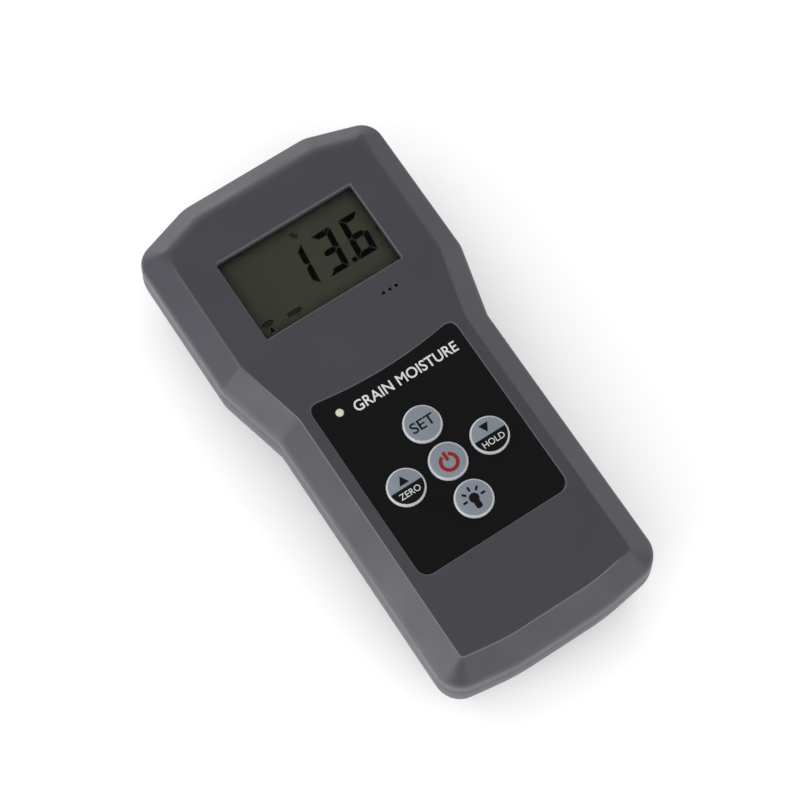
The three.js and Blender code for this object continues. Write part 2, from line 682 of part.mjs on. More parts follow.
function buildKeypad() {
  const parts = group("keypad");
  for (const [name, [x, dy]] of Object.entries(KEYS)) {
    const y = KEY_CENTRE_Y + dy;
    piece(parts, `key_${name}`, keyCap(), "key", [x, y, FACE_Z]);
    piece(parts, `switch_plunger_${name}`, switchPlunger(), "blackPlastic", [x, y, 0]);
    piece(parts, `switch_body_${name}`, switchBody(), "blackPlastic", [x, y, 0]);
  }
}

function buildElectronics() {
  const parts = group("electronics");
  piece(parts, "main_board", mainBoard(), "board");
  const half = CHIP.width / 2;
  const chip = block([-half, -half, -CHIP.thickness], [half, half, 0]);
  piece(parts, "microcontroller", chip, "chip", [0, 0, BOARD_UNDERSIDE - GAP]);
  piece(parts, "buzzer", buzzer(), "blackPlastic", [SOUND_HOLES.x, SOUND_HOLES.y - 3, 0]);
  piece(parts, "indicator_led", indicatorLed(), "clear", [INDICATOR.x, INDICATOR.y, 0]);
  BOARD_SCREWS.forEach(([x, y], i) =>
    piece(parts, `board_screw_${i + 1}`, screw(BOARD_SCREW), "steel", [x, y, BOARD_UNDERSIDE - GAP]),
  );
}

function buildPower() {
  const parts = group("power");
  [-1.5, -0.5, 0.5, 1.5].forEach((step, i) => {
    const x = step * CELL.pitch;
    const towardsHead = i % 2 === 0;
    const turnZ = towardsHead ? 0 : Math.PI;
    const sign = towardsHead ? 1 : -1;
    const springWall = towardsHead ? BAY.tail : BAY.head;
    const plateWall = towardsHead ? BAY.head : BAY.tail;
    const springFoot = springWall + sign * GAP;
    const cellFoot = springFoot + sign * (SPRING.length + GAP);
    piece(parts, `battery_${i + 1}`, cell(), "cell", [x, cellFoot, CELL.z], turnZ);
    piece(parts, `battery_spring_${i + 1}`, cellSpring(), "steel", [x, springFoot, CELL.z], turnZ);
    const plateFoot = plateWall - sign * PLATE.standOff;
    piece(parts, `battery_plate_${i + 1}`, contactPlate(), "steel", [x, plateFoot, CELL.z], turnZ);
  });
  piece(parts, "battery_lead_positive", batteryLead(), "redWire", [-BATTERY_LEAD.x, 0, 0]);
  piece(parts, "battery_lead_negative", batteryLead(), "blackWire", [BATTERY_LEAD.x, 0, 0]);
}

function buildSensor() {
  const parts = group("sensor");
  piece(parts, "sensor_carrier", sensorCarrier(), "blackPlastic");
  piece(parts, "sensor_electrode_left", sensorElectrode(), "steel", [-ELECTRODE.x, SENSOR.y, 0]);
  piece(parts, "sensor_electrode_right", sensorElectrode(), "steel", [ELECTRODE.x, SENSOR.y, 0]);
  piece(parts, "sensor_board", sensorBoard(), "board");
  piece(parts, "sensor_lead", sensorLead(), "blackWire");
  piece(parts, "sensor_socket", sensorSocket(), "whitePlastic");
}

buildCase();
buildDisplay();
buildKeypad();
buildElectronics();
buildPower();
buildSensor();

export default meter;
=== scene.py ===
"""Looks of a hand-held grain moisture meter, built on its CAD frame.

Lengths in this script are millimetres in the CAD frame, turned into metres as each mesh is made.
"""

from math import atan2, copysign, cos, hypot, pi, radians, sin, tan

import bpy
from mathutils import Matrix, Vector


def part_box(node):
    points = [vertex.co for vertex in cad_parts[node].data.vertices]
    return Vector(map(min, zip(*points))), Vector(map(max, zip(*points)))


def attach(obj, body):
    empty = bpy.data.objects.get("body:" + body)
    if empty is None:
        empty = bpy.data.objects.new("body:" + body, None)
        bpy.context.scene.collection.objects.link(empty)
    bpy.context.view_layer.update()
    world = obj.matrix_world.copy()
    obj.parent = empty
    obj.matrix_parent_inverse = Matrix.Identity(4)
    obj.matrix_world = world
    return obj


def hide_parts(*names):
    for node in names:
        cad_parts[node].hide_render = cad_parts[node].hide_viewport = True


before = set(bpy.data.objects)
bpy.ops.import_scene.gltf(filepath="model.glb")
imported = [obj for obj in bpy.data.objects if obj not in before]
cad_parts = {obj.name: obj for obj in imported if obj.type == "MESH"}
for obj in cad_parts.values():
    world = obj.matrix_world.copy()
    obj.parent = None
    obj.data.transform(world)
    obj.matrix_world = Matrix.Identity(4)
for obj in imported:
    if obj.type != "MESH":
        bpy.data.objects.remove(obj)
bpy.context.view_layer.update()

MM = 0.001
NEAR = 0.01
QUARTER = pi / 2


def box_of(node):
    """Lowest and highest corner of a CAD node, in millimetres."""
    low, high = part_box(node)
    return low / MM, high / MM


def centre_of(node):
    low, high = box_of(node)
    return (low + high) / 2


# ---- sizes from the frame

BACK_LOW, BACK_HIGH = box_of("back_shell")
FACE_Z = box_of("front_shell")[1].z
GAP = 0.3  # air that the CAD leaves between two pieces that touch
PARTING_Z = BACK_HIGH.z + GAP
BACK_Z = BACK_LOW.z
HALF_LENGTH = BACK_HIGH.y
HEAD_HALF = BACK_HIGH.x
LABEL_LOW, LABEL_HIGH = box_of("overlay_label")
LENS_LOW, LENS_HIGH = box_of("lcd_lens")
GLASS_LOW, GLASS_HIGH = box_of("lcd_glass")
DOOR_LOW, DOOR_HIGH = box_of("battery_door")
CARRIER_LOW, CARRIER_HIGH = box_of("sensor_carrier")
KEY_NAMES = ("function", "power", "light", "zero", "hold")
POWER_KEY = centre_of("key_power")

# ---- sizes of the outer case

GRIP_HALF = 33.3
BEVEL_Z = FACE_Z - 6  # foot of the sloping border round the face
BEVEL = {"side": 7.1, "head": 6.7, "tail": 6.75}  # how far in the face starts
FOOT_INSET = 0.4  # the side walls lean in by this much at the foot of the border
PARTING_INSET = 0.2  # and by this much where the halves meet
PARTING_LIP = ((0, 0.3), (0.1, 0.08), (0.35, 0))  # height from the parting edge, extra inset
SHELL = 2.2
CAP_MARGIN = 4.0  # how far inside the ridge the flat face surely starts
FLAT_CORNER = 2.5  # least corner radius there
CASE_CORNERS = (
    # x, y, corner radius, pieces of arc, border of the edge that starts here
    (14, -HALF_LENGTH, 60, 10, "tail"),
    (GRIP_HALF, -HALF_LENGTH + 2.9, 7.8, 18, "side"),
    (GRIP_HALF, 6.5, 6, 10, "side"),
    (HEAD_HALF, 27.1, 9, 10, "side"),
    (HEAD_HALF, HALF_LENGTH - 6.1, 7, 18, "head"),
    (19.5, HALF_LENGTH, 12, 10, "head"),
)
RUN_STEP = 2.5  # spacing of points along straight runs
FOOT_ROUND = 1.3  # reach of the rounding at the foot of the border
FOOT_STEPS = 6
RIDGE_ROUND = 0.35  # reach of the rounding of the ridge on the grip
RIDGE_STEPS = 10
HEAD_SOFTER = (0.3, 12, 36)  # added to that reach, and the y between which it comes in
TOP_SOFTER = (2.0, 60, 68)
CEILING = FACE_Z - 2.4  # inner side of the front wall
CAVITY_MARGIN = 1.4  # the cavity is narrower than the face by this much at its top
CAVITY_DROP = 0.9  # and it starts to narrow this far under the foot of the border
BACK_FLANK = (  # z, inset of the rounded flank of the back half
    (PARTING_Z - GAP, PARTING_INSET),
    (18, 0),
    (13, 0.7),
    (8.5, 2),
    (5, 3.6),
    (2.6, 5.4),
    (BACK_Z, 7.8),
)
FLANK_STEPS = 4
BACK_EDGE = ((0.12, 0.15), (0, 0.7))  # rise and extra inset of the rounding round the back
BACK_CAVITY = {"inset": 9, "floor": 15.9, "full": 17.5}
CASE_SHARP = 30  # edges of the case sharper than this many degrees stay sharp

WINDOW = {"width": 42.8, "height": 25.8, "corner": 0.6}
LABEL_CORNER = 3.2
LABEL_SAG = 1.8
SAG_STEPS = 24
LABEL_DEPTH = 0.7
LABEL_AIR = 0.2
LABEL_EDGE = 0.06
WINDOW_RIM = 0.3  # chamfers round the two openings in the face
LABEL_RIM = 0.25
SOUND_HOLES = {"x": 13.7, "y": 24.9, "pitch": 2.03, "radius": 0.48, "rim": 0.08, "pieces": 24}

# Painted light: the casing's colour is lightened on the ridge, the rims of the openings and the walls,
# standing in for highlights and for light that they catch.
RIM_HIGHLIGHT = 0.7  # how much painted highlight the rims of the openings get, from 0 to 1
WALL_PAINTED_LIGHT = 0.36
WALL_PAINTED_LIGHT_FADE = (4, 9)  # rings of the border's foot over which the painted light on the walls fades out
RIGHT_HIGHLIGHT_DROP = (0.85, 20, 24)  # share of the ridge's painted highlight left off on the right, away from the light, and the x between which it goes

# ---- sizes of the back, door and sensor

UNDER_CASE = -5  # well below and well beyond the case, for cutters
PAST_TAIL = -2 * HALF_LENGTH
BACK_RIM = 0.3  # chamfer round the openings in the back
SCREW_WELL = 3
SCREW_SEAT_Z = 8.0
DOOR_HALF = DOOR_HIGH.x - 1.2  # the panel between its rails
DOOR_AIR = 0.2
RAIL_Z = 2.3  # foot of the rails
RAIL_ROOT = 0.5  # how far a rail reaches into the panel
RAIL_LEAD = 2.5  # how far it starts before the springs
RAIL_END_STEP = 0.05
RAIL_TOP_STEP = 0.1
BAY = {"half_width": 22.5, "margin": 0.4, "top": 14.9}
THUMB_GRIP = {
    "ribs": 7,
    "first": 7.4,  # from the door's end
    "pitch": 1.7,
    "half_width": 8.5,
    "taper": 0.36,
    "groove": 0.8,
    "corner": 0.38,
    "depth": 0.45,
}
RUNNER = {"x": 14.5, "y": -40, "width": 5.5, "length": 46, "corner": 2.5, "edge": 0.2, "sunk": 0.05}
SENSOR = {
    "step": 2.2,  # the opening is inside the carrier's flange by this much
    "inset": 2.5,  # and the block that shows by this much
    "corner": 2.0,
    "edge": 0.3,
    "well_top": 17,
    "plate_corner": 1.5,
    "plate_edge": 0.25,
    "plate_top": 1.6,
    "plate_air": 0.25,
    "pocket_rim": 0.2,
    "pocket_top": 1.8,
}
SCREW = {
    "head": 2.6,
    "dome": 1.3,
    "rim": 1.5,
    "height": 1.8,
    "shank": 1.35,
    "slot": (2.8, 0.62),
    "recess": 1.1,
}
CELL = {"cap": 0.95, "cap_radius": 1.9, "cap_edge": 0.25, "stripe": (8, 9.2)}
COIL = {"radius": 3.6, "taper": 1.6, "turns": 3.0, "wire": 0.35, "end": 0.4, "pieces": 90}

# ---- sizes of the keys and the print

KEY_RADIUS = 5.3
KEY_STEM = 2.4
KEY_FLANGE = 5.85
KEY_FLANGE_RISE = (0.4, 1.4)  # foot and top of the flange, from the foot of the stem
KEY_SHOULDER = 0.7
SHOULDER_STEPS = 7
KEY_DISH = 0.05  # the cap's top lies this far down inside its shoulder
KEY_HOLE_AIR = 0.15
KEY_HOLE_RIM = 0.07
KEY_FACE_RADIUS = KEY_RADIUS - 0.55
KEY_FACE_STEP = 0.2  # how far the cap's flat top reaches in under the face
FACE_DROP = 0.02
FACE_THICKNESS = 0.06
FACE_CHAMFER = 0.02
LAMP = {"radius": 1.15, "dome": 0.25, "proud": 0.05}
LAMP_HOLE = 1.3
LAMP_AIR = 0.1
PRINT = 0.03  # thickness of print
INK_LIFT = 0.02
BAND_MARGIN = 0.02
TITLE = {"words": "GRAIN MOISTURE", "size": 4.3, "x": 3.67, "y": 25.7}
ARROW = {"half": 1.4, "up": (3.3, 0.85), "down": (0.9, 3.35)}  # tip and foot, above the key's middle
POWER_SIGN = {"radius": 2.25, "width": 0.95, "gap": 24, "y": -0.5, "stroke": 2.7, "stroke_y": 1.3}
LAMP_SIGN = {
    "radius": 1.38,
    "y": -0.05,
    "stem": (2.4, 1.75),
    "stem_y": -1.95,
    "ray": (1.35, 0.6),
    "reach": 2.7,
}


# ---- outlines


def whole_outline():
    """The corners of both halves, anticlockwise from the tail."""
    left = []
    for i, (x, y, radius, pieces, _) in enumerate(CASE_CORNERS):
        border = CASE_CORNERS[i - 1][4] if i else "tail"
        left.append((-x, y, radius, pieces, border))
    return list(CASE_CORNERS) + left[::-1]


def cross(u, v):
    return u.x * v.y - u.y * v.x


def case_outline(inset, least=0.8):
    """The case outline moved inwards by one number, or by one for each border."""
    by = inset if isinstance(inset, dict) else dict.fromkeys(BEVEL, inset)
    corners = whole_outline()
    count = len(corners)
    edges = []
    for i, (x, y, _, _, border) in enumerate(corners):
        x2, y2 = corners[(i + 1) % count][:2]
        along = Vector((x2 - x, y2 - y)).normalized()
        edges.append((Vector((x, y)) + Vector((-along.y, along.x)) * by[border], along))
    arcs = []
    for i, (_, _, radius, pieces, border) in enumerate(corners):
        (p, u), (q, v) = edges[i - 1], edges[i]
        tip = p + u * (cross(q - p, v) / cross(u, v))
        turn = atan2(cross(u, v), u.dot(v))
        side = copysign(1, turn)
        r = max(least, radius - side * by[border])
        centre = tip - u * (r * tan(abs(turn) / 2)) + Vector((-u.y, u.x)) * (side * r)
        first = atan2(u.y, u.x) - side * QUARTER
        angles = [first + turn * k / pieces for k in range(pieces + 1)]
        arcs.append([centre + Vector((cos(a), sin(a))) * r for a in angles])
    points = []
    for i, arc in enumerate(arcs):
        points += arc
        x, y = corners[i][:2]
        x2, y2 = corners[(i + 1) % count][:2]
        runs = max(2, int(hypot(x2 - x, y2 - y) / RUN_STEP))
        start, end = arc[-1], arcs[(i + 1) % count][0]
        points += [start.lerp(end, k / runs) for k in range(1, runs)]
    return points


def rounded_rectangle(width, height, radius, x=0.0, y=0.0, pieces=8):
    """Points of a rounded rectangle, anticlockwise."""
    w, h = width / 2 - radius, height / 2 - radius
    points = []
    for quarter, (cx, cy) in enumerate(((w, h), (-w, h), (-w, -h), (w, -h))):
        for k in range(pieces + 1):
            a = (quarter + k / pieces) * QUARTER
            points.append(Vector((x + cx + radius * cos(a), y + cy + radius * sin(a))))
    return points


def circle(radius, x=0.0, y=0.0, pieces=48):
    angles = [2 * pi * k / pieces for k in range(pieces)]
    return [Vector((x + radius * cos(a), y + radius * sin(a))) for a in angles]


def circle_at(radius, spot, pieces=48):
    """A circle's outline as a function of how far it grows."""
    return lambda grow: circle(radius + grow, spot.x, spot.y, pieces)


def rectangle_at(width, height, radius, spot, pieces=8):
    """A rounded rectangle's outline as a function of how far it grows on every side."""

    def outline(grow):
        return rounded_rectangle(width + 2 * grow, height + 2 * grow, radius + grow, spot.x, spot.y, pieces)

    return outline


def corner_arc(centre, radius, start, pieces):
    """A quarter of a circle, anticlockwise from the start angle."""
    angles = [start + QUARTER * k / pieces for k in range(pieces + 1)]
    return [centre + Vector((cos(a), sin(a))) * radius for a in angles]


def quadratic(a, b, c, t):
    return a * (1 - t) ** 2 + b * (2 * t * (1 - t)) + c * t**2


def label_outline(grow=0.0, pieces=10):
    """The key label: straight sides, round corners and a top edge that sags in the middle."""
    r = LABEL_CORNER
    w, low = LABEL_HIGH.x + grow, LABEL_LOW.y - grow
    high = LABEL_HIGH.y + grow + LABEL_SAG / 4
    shoulder = high - LABEL_SAG / 4
    points = corner_arc(Vector((w - r, low + r)), r, -QUARTER, pieces)
    corner = (Vector((w, high - r)), Vector((w, high)), Vector((w - r, shoulder)))
    points += [quadratic(*corner, k / pieces) for k in range(pieces + 1)]
    sweep = (corner[2], Vector((0, high - 2 * LABEL_SAG)), Vector((-w + r, shoulder)))
    points += [quadratic(*sweep, k / SAG_STEPS) for k in range(1, SAG_STEPS)]
    corner = (sweep[2], Vector((-w, high)), Vector((-w, high - r)))
    points += [quadratic(*corner, k / pieces) for k in range(pieces + 1)]
    return points + corner_arc(Vector((-w + r, low + r)), r, pi, pieces)


# ---- mesh helpers


def make(name, vertices, faces, smooth_angle=35):
    """A mesh object from points in millimetres, smooth except at edges sharper than the angle."""
    mesh = bpy.data.meshes.new(name)
    mesh.from_pydata([Vector(v) * MM for v in vertices], [], faces)
    mesh.validate()
    piece = bpy.data.objects.new(name, mesh)
    show(piece)
    smooth(piece, smooth_angle)
    return piece


def smooth(piece, angle=35):
    piece.data.shade_smooth()
    piece.data.set_sharp_from_angle(angle=radians(angle))


def at(points, z):
    return [Vector((p.x, p.y, z)) for p in points]


def loft(rings):
    """Vertices and faces of a closed body through rings with equal numbers of points, low to high."""
    count = len(rings[0])
    vertices = [p for ring in rings for p in ring]
    faces = []
    for r in range(len(rings) - 1):
        for i in range(count):
            a, b = r * count + i, r * count + (i + 1) % count
            faces.append((a, b, b + count, a + count))
    top = (len(rings) - 1) * count
    faces.append(tuple(range(count))[::-1])
    faces.append(tuple(range(top, top + count)))
    return vertices, faces


def body(name, rings, smooth_angle=35):
    return make(name, *loft(rings), smooth_angle)


def lathe(name, profile, spot, pieces=64, smooth_angle=35):
    """A profile of (radius, z) pairs, with its ends on the axis, turned about a vertical axis."""
    (_, first), (_, last) = profile[0], profile[-1]
    vertices = [Vector((spot[0], spot[1], spot[2] + first))]
    for radius, z in profile[1:-1]:
        vertices += at(circle(radius, spot[0], spot[1], pieces), spot[2] + z)
    vertices.append(Vector((spot[0], spot[1], spot[2] + last)))
    rings = len(profile) - 2
    faces = []
    for i in range(pieces):
        j = (i + 1) % pieces
        faces.append((0, 1 + j, 1 + i))
        for r in range(rings - 1):
            a, b = 1 + r * pieces + i, 1 + r * pieces + j
            faces.append((a, b, b + pieces, a + pieces))
        end = 1 + (rings - 1) * pieces
        faces.append((end + i, end + j, len(vertices) - 1))
    return make(name, vertices, faces, smooth_angle)


def apply_modifiers(piece):
    """Bakes the modifiers into the mesh."""
    graph = bpy.context.evaluated_depsgraph_get()
    baked = bpy.data.meshes.new_from_object(piece.evaluated_get(graph))
    old = piece.data
    piece.modifiers.clear()
    piece.data = baked
    baked.name = piece.name
    bpy.data.meshes.remove(old)


def carve(piece, *cutters, operation="DIFFERENCE"):
    """Cuts, joins or intersects with each cutter, which is then removed."""
    for cutter in cutters:
        step = piece.modifiers.new("carve", "BOOLEAN")
        step.operation = operation
        step.solver = "EXACT"
        step.object = cutter
    bpy.context.view_layer.update()
    apply_modifiers(piece)
    for cutter in cutters:
        bpy.data.objects.remove(cutter)
    return piece


def even_shading(piece, angle=35):
    """Keeps flat faces flat where they meet rounded edges."""
    smooth(piece, angle)
    step = piece.modifiers.new("normals", "WEIGHTED_NORMAL")
    step.keep_sharp = True
    step.weight = 50
    bpy.context.view_layer.update()
    apply_modifiers(piece)
    return piece


def soften(piece, width, segments=3, angle=40):
    """Rounds every edge sharper than the angle."""
    step = piece.modifiers.new("soften", "BEVEL")
    step.width = width * MM
    step.segments = segments
    step.limit_method = "ANGLE"
    step.angle_limit = radians(angle)
    bpy.context.view_layer.update()
    apply_modifiers(piece)
    return even_shading(piece)


def flared_cutter(outline_at, depth_z, chamfer):
    """A cutter through the face whose rim has a chamfer. outline_at(grow) gives its outline."""
    rings = [at(outline_at(0), depth_z), at(outline_at(0), FACE_Z - chamfer)]
    rings += [at(outline_at(chamfer), FACE_Z), at(outline_at(chamfer + 1), FACE_Z + 1)]
    return body("cutter", rings)


def well_cutter(outline_at, face_z, chamfer, top):
    """A cutter up through a downward face, whose rim has a chamfer. outline_at(grow) gives its outline."""
    wide, narrow = outline_at(chamfer), outline_at(0)
    rings = [at(wide, -1), at(wide, face_z)]
    rings += [at(narrow, face_z + chamfer), at(narrow, top)]
    return body("cutter", rings)


def shaft_cutter(radius, spot):
    """A round cutter from the face down through the front wall."""
    shaft = circle(radius, spot.x, spot.y)
    return body("cutter", [at(shaft, CEILING - 1), at(shaft, FACE_Z)])


def block(name, low, high):
    outline = [Vector((low[0], low[1])), Vector((high[0], low[1])), Vector((high[0], high[1]))]
    outline.append(Vector((low[0], high[1])))
    return body(name, [at(outline, low[2]), at(outline, high[2])])


def show(piece):
    bpy.context.scene.collection.objects.link(piece)


def place(piece, ride_on, material, replaces=()):
    """Gives a finished piece its body and its one material, and hides the CAD nodes that it stands for."""
    piece.data.materials.clear()
    piece.data.materials.append(material)
    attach(piece, ride_on)
    if replaces:
        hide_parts(*replaces)
    return piece


# ---- materials


def new_material(name):
    material = bpy.data.materials.new(name)
    material.use_nodes = True
    tree = material.node_tree
    return material, tree, tree.nodes["Principled BSDF"]


def feed(tree, socket, value):
    """Gives an input a number or a colour, or links it to another node's output."""
    if isinstance(value, bpy.types.NodeSocket):
        tree.links.new(value, socket)
    else:
        socket.default_value = value


def feed_all(tree, shader_node, **inputs):
    for name, value in inputs.items():
        feed(tree, shader_node.inputs[name.replace("_", " ")], value)
    return shader_node


def add_node(tree, kind, **inputs):
    return feed_all(tree, tree.nodes.new("ShaderNode" + kind), **inputs)


def maths(tree, operation, *values):
    made = tree.nodes.new("ShaderNodeMath")
    made.operation = operation
    for socket, value in zip(made.inputs, values):
        feed(tree, socket, value)
    return made.outputs[0]


def blend(tree, factor, a, b):
    """A colour between a and b."""
    mix = tree.nodes.new("ShaderNodeMix")
    mix.data_type = "RGBA"
    return feed_all(tree, mix, Factor=factor, A=a, B=b).outputs["Result"]


def noise(tree, scale, detail, stretch=(1, 1, 1)):
    """A noise texture in the object's own space. Scale is in grains per metre."""
    spot = add_node(tree, "TexCoord").outputs["Object"]
    mapped = add_node(tree, "Mapping", Vector=spot, Scale=stretch).outputs["Vector"]
    return add_node(tree, "TexNoise", Vector=mapped, Scale=scale, Detail=detail).outputs["Fac"]


def spread(tree, source, low, high):
    """Maps a noise, which stays near its middle, to the range from low to high."""
    limits = {"From_Min": 0.3, "From_Max": 0.7, "To_Min": low, "To_Max": high}
    return add_node(tree, "MapRange", Value=source, **limits).outputs["Result"]


def surface(name, colour, roughness, variation, grain, depth, patches=60, stretch=(1, 1, 1), **inputs):
    """A surface with patchy colour and roughness and a fine grain.

    Variation is the share by which the colour varies, grain and patches are counts per metre, and depth
    is the grain's height in millimetres.
    """
    material, tree, shader = new_material(name)
    patch = noise(tree, patches, 4)
    shades = [(*[c * (1 + side * variation) for c in colour], 1) for side in (-1, 1)]
    tint = blend(tree, spread(tree, patch, 0, 1), *shades)
    rough = spread(tree, patch, roughness * 0.88, roughness * 1.12)
    fine = noise(tree, grain, 2, stretch)
    bump = add_node(tree, "Bump", Strength=1, Distance=depth * MM, Height=fine)
    normal = bump.outputs["Normal"]
    feed_all(tree, shader, Base_Color=tint, Roughness=rough, Normal=normal, **inputs)
    return material


def refinish(node, material):
    """Gives a CAD node that stays on show a better material."""
    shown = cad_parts[node]
    shown.data.materials.clear()
    shown.data.materials.append(material)


def casing_material():
    """Moulded plastic, with painted highlights: lighter where the mesh's attribute of painted highlights and
    painted light says so.
    """
    material = surface("casing_plastic", (0.0315, 0.0325, 0.040), 0.5, 0.06, **CASING_FINISH)
    tree = material.node_tree
    base = tree.nodes["Principled BSDF"].inputs["Base Color"]
    highlight_amount = tree.nodes.new("ShaderNodeAttribute")
    highlight_amount.attribute_name = "painted_light"
    tint = blend(tree, highlight_amount.outputs["Fac"], base.links[0].from_socket, HIGHLIGHT_COLOUR)
    tree.links.new(tint, base)
    return material


CASING_FINISH = {"grain": 2600, "depth": 0.028, "Specular_IOR_Level": 0.3}
# the lighter tone painted where highlights and light fall on the casing
HIGHLIGHT_COLOUR = (0.115, 0.118, 0.125, 1)
CASING = casing_material()
# The back half, the door and its runners: a lighter copy of the casing plastic, whose lighter tone is
# painted light on the flanks.
BACK_CASING_PAINTED_LIGHT = surface("back_casing_painted_light", (0.057, 0.058, 0.067), 0.5, 0.06, **CASING_FINISH)
LABEL = surface("label_film", (0.0044, 0.0044, 0.0046), 0.38, 0.1, grain=4000, depth=0.003,
                Specular_IOR_Level=0.05)
KEY_RIM = surface("key_silicone", (0.34, 0.355, 0.37), 0.4, 0.05, grain=1800, depth=0.004,
                  Subsurface_Weight=0.3, Subsurface_Radius=(0.002, 0.002, 0.002))
KEY_FACE = surface("key_face_grey", (0.145, 0.168, 0.199), 0.38, 0.06, grain=2400, depth=0.004, patches=150)
INK_BLACK = surface("ink_black", (0.005, 0.005, 0.0055), 0.45, 0.12, grain=3500, depth=0.002,
                    Specular_IOR_Level=0.05)
INK_WHITE = surface("ink_white", (0.52, 0.52, 0.53), 0.45, 0.05, grain=3500, depth=0.002)
INK_RED = surface("ink_red", (0.18, 0.006, 0.005), 0.45, 0.08, grain=3500, depth=0.002,
                  Specular_IOR_Level=0.2)
LED = surface("indicator_plastic", (0.50, 0.50, 0.42), 0.25, 0.04, grain=1500, depth=0.002)
STEEL = surface("plated_steel", (0.55, 0.55, 0.56), 0.28, 0.08, grain=1200, depth=0.002, Metallic=1.0)
ELECTRODE = surface("brushed_electrode", (0.62, 0.62, 0.63), 0.32, 0.06, grain=900, depth=0.004,
                    Metallic=1.0, stretch=(6, 0.15, 1))
BLACK_PLASTIC = surface("black_plastic", (0.014, 0.014, 0.015), 0.5, 0.08, grain=2200, depth=0.008)
WHITE_PLASTIC = surface("white_plastic", (0.72, 0.72, 0.70), 0.45, 0.03, grain=1800, depth=0.004)
RUBBER = surface("connector_rubber", (0.03, 0.03, 0.032), 0.75, 0.08, grain=1500, depth=0.006)
BOARD = surface("solder_mask", (0.010, 0.085, 0.030), 0.35, 0.12, grain=700, depth=0.01, patches=220)
CHIP = surface("chip_epoxy", (0.012, 0.012, 0.013), 0.55, 0.1, grain=5000, depth=0.004)
SLEEVE = surface("battery_sleeve", (0.022, 0.055, 0.032), 0.3, 0.08, grain=900, depth=0.004)
RED_WIRE = surface("red_insulation", (0.42, 0.015, 0.012), 0.4, 0.06, grain=1200, depth=0.006)
BLACK_WIRE = surface("black_insulation", (0.012, 0.012, 0.012), 0.4, 0.1, grain=1200, depth=0.006)
SEGMENT = surface("lcd_segment", (0.0012, 0.0015, 0.0012), 0.4, 0.1, grain=3000, depth=0.001,
                  Specular_IOR_Level=0.01)


def painted_edge_shade(tree, coordinate, middle, half):
    """Painted shade: one in the middle, falling smoothly to the edge share of the painted shade at a
    distance of half.
    """
    distance = maths(tree, "ABSOLUTE", maths(tree, "SUBTRACT", coordinate, middle * MM))
    limits = {"From_Min": (half - LCD_SHADE_WIDTH) * MM, "From_Max": half * MM, "To_Max": LCD_SHADE_SHARE}
    fade = add_node(tree, "MapRange", Value=distance, To_Min=1.0, **limits)
    fade.interpolation_type = "SMOOTHSTEP"
    return fade.outputs["Result"]


def lcd_material():
    """Olive liquid crystal glass, with painted shade towards its edges for the shadow of the window's walls.
    """
    material, tree, shader = new_material("lcd_polariser")
    spot = add_node(tree, "SeparateXYZ", Vector=add_node(tree, "TexCoord").outputs["Object"])
    middle = (GLASS_LOW + GLASS_HIGH) / 2
    across = painted_edge_shade(tree, spot.outputs["X"], middle.x, WINDOW["width"] / 2)
    along = painted_edge_shade(tree, spot.outputs["Y"], middle.y, WINDOW["height"] / 2)
    patch = noise(tree, 90, 3)
    tone = maths(tree, "MULTIPLY", maths(tree, "MULTIPLY", across, along), spread(tree, patch, 0.95, 1.05))
    tint = blend(tree, tone, LCD_SHADE_COLOUR, LCD_COLOUR)
    rough = spread(tree, patch, 0.3, 0.4)
    feed_all(tree, shader, Base_Color=tint, Roughness=rough, Specular_IOR_Level=0.15)
    return material


def lens_material():
    """Clear window plastic: thin, with a faint grain and soft gloss."""
    material, tree, shader = new_material("window_plastic")
    patch = noise(tree, 120, 3)
    rough, alpha = spread(tree, patch, 0.07, 0.13), spread(tree, patch, 0.015, 0.03)
    colour = (0.01, 0.012, 0.01, 1)
    feed_all(tree, shader, Base_Color=colour, Roughness=rough, Alpha=alpha, Specular_IOR_Level=0.3)
    return material


LCD_COLOUR = (0.029, 0.0325, 0.0195, 1)
# painted shade at the display's edges, where the window's walls shade the glass
LCD_SHADE_COLOUR = (0.004, 0.0045, 0.003, 1)
LCD_SHADE_WIDTH = 4  # width of the painted shade at the edges
LCD_SHADE_SHARE = 0.45
LCD = lcd_material()
LENS = lens_material()


# ---- case


def ease(value, low, high):
    t = min(1.0, max(0.0, (value - low) / (high - low)))
    return t * t * (3 - 2 * t)


def change(value, step):
    """A change that comes in smoothly. The step is its size, and where it starts and is complete."""
    size, low, high = step
    return size * ease(value, low, high)


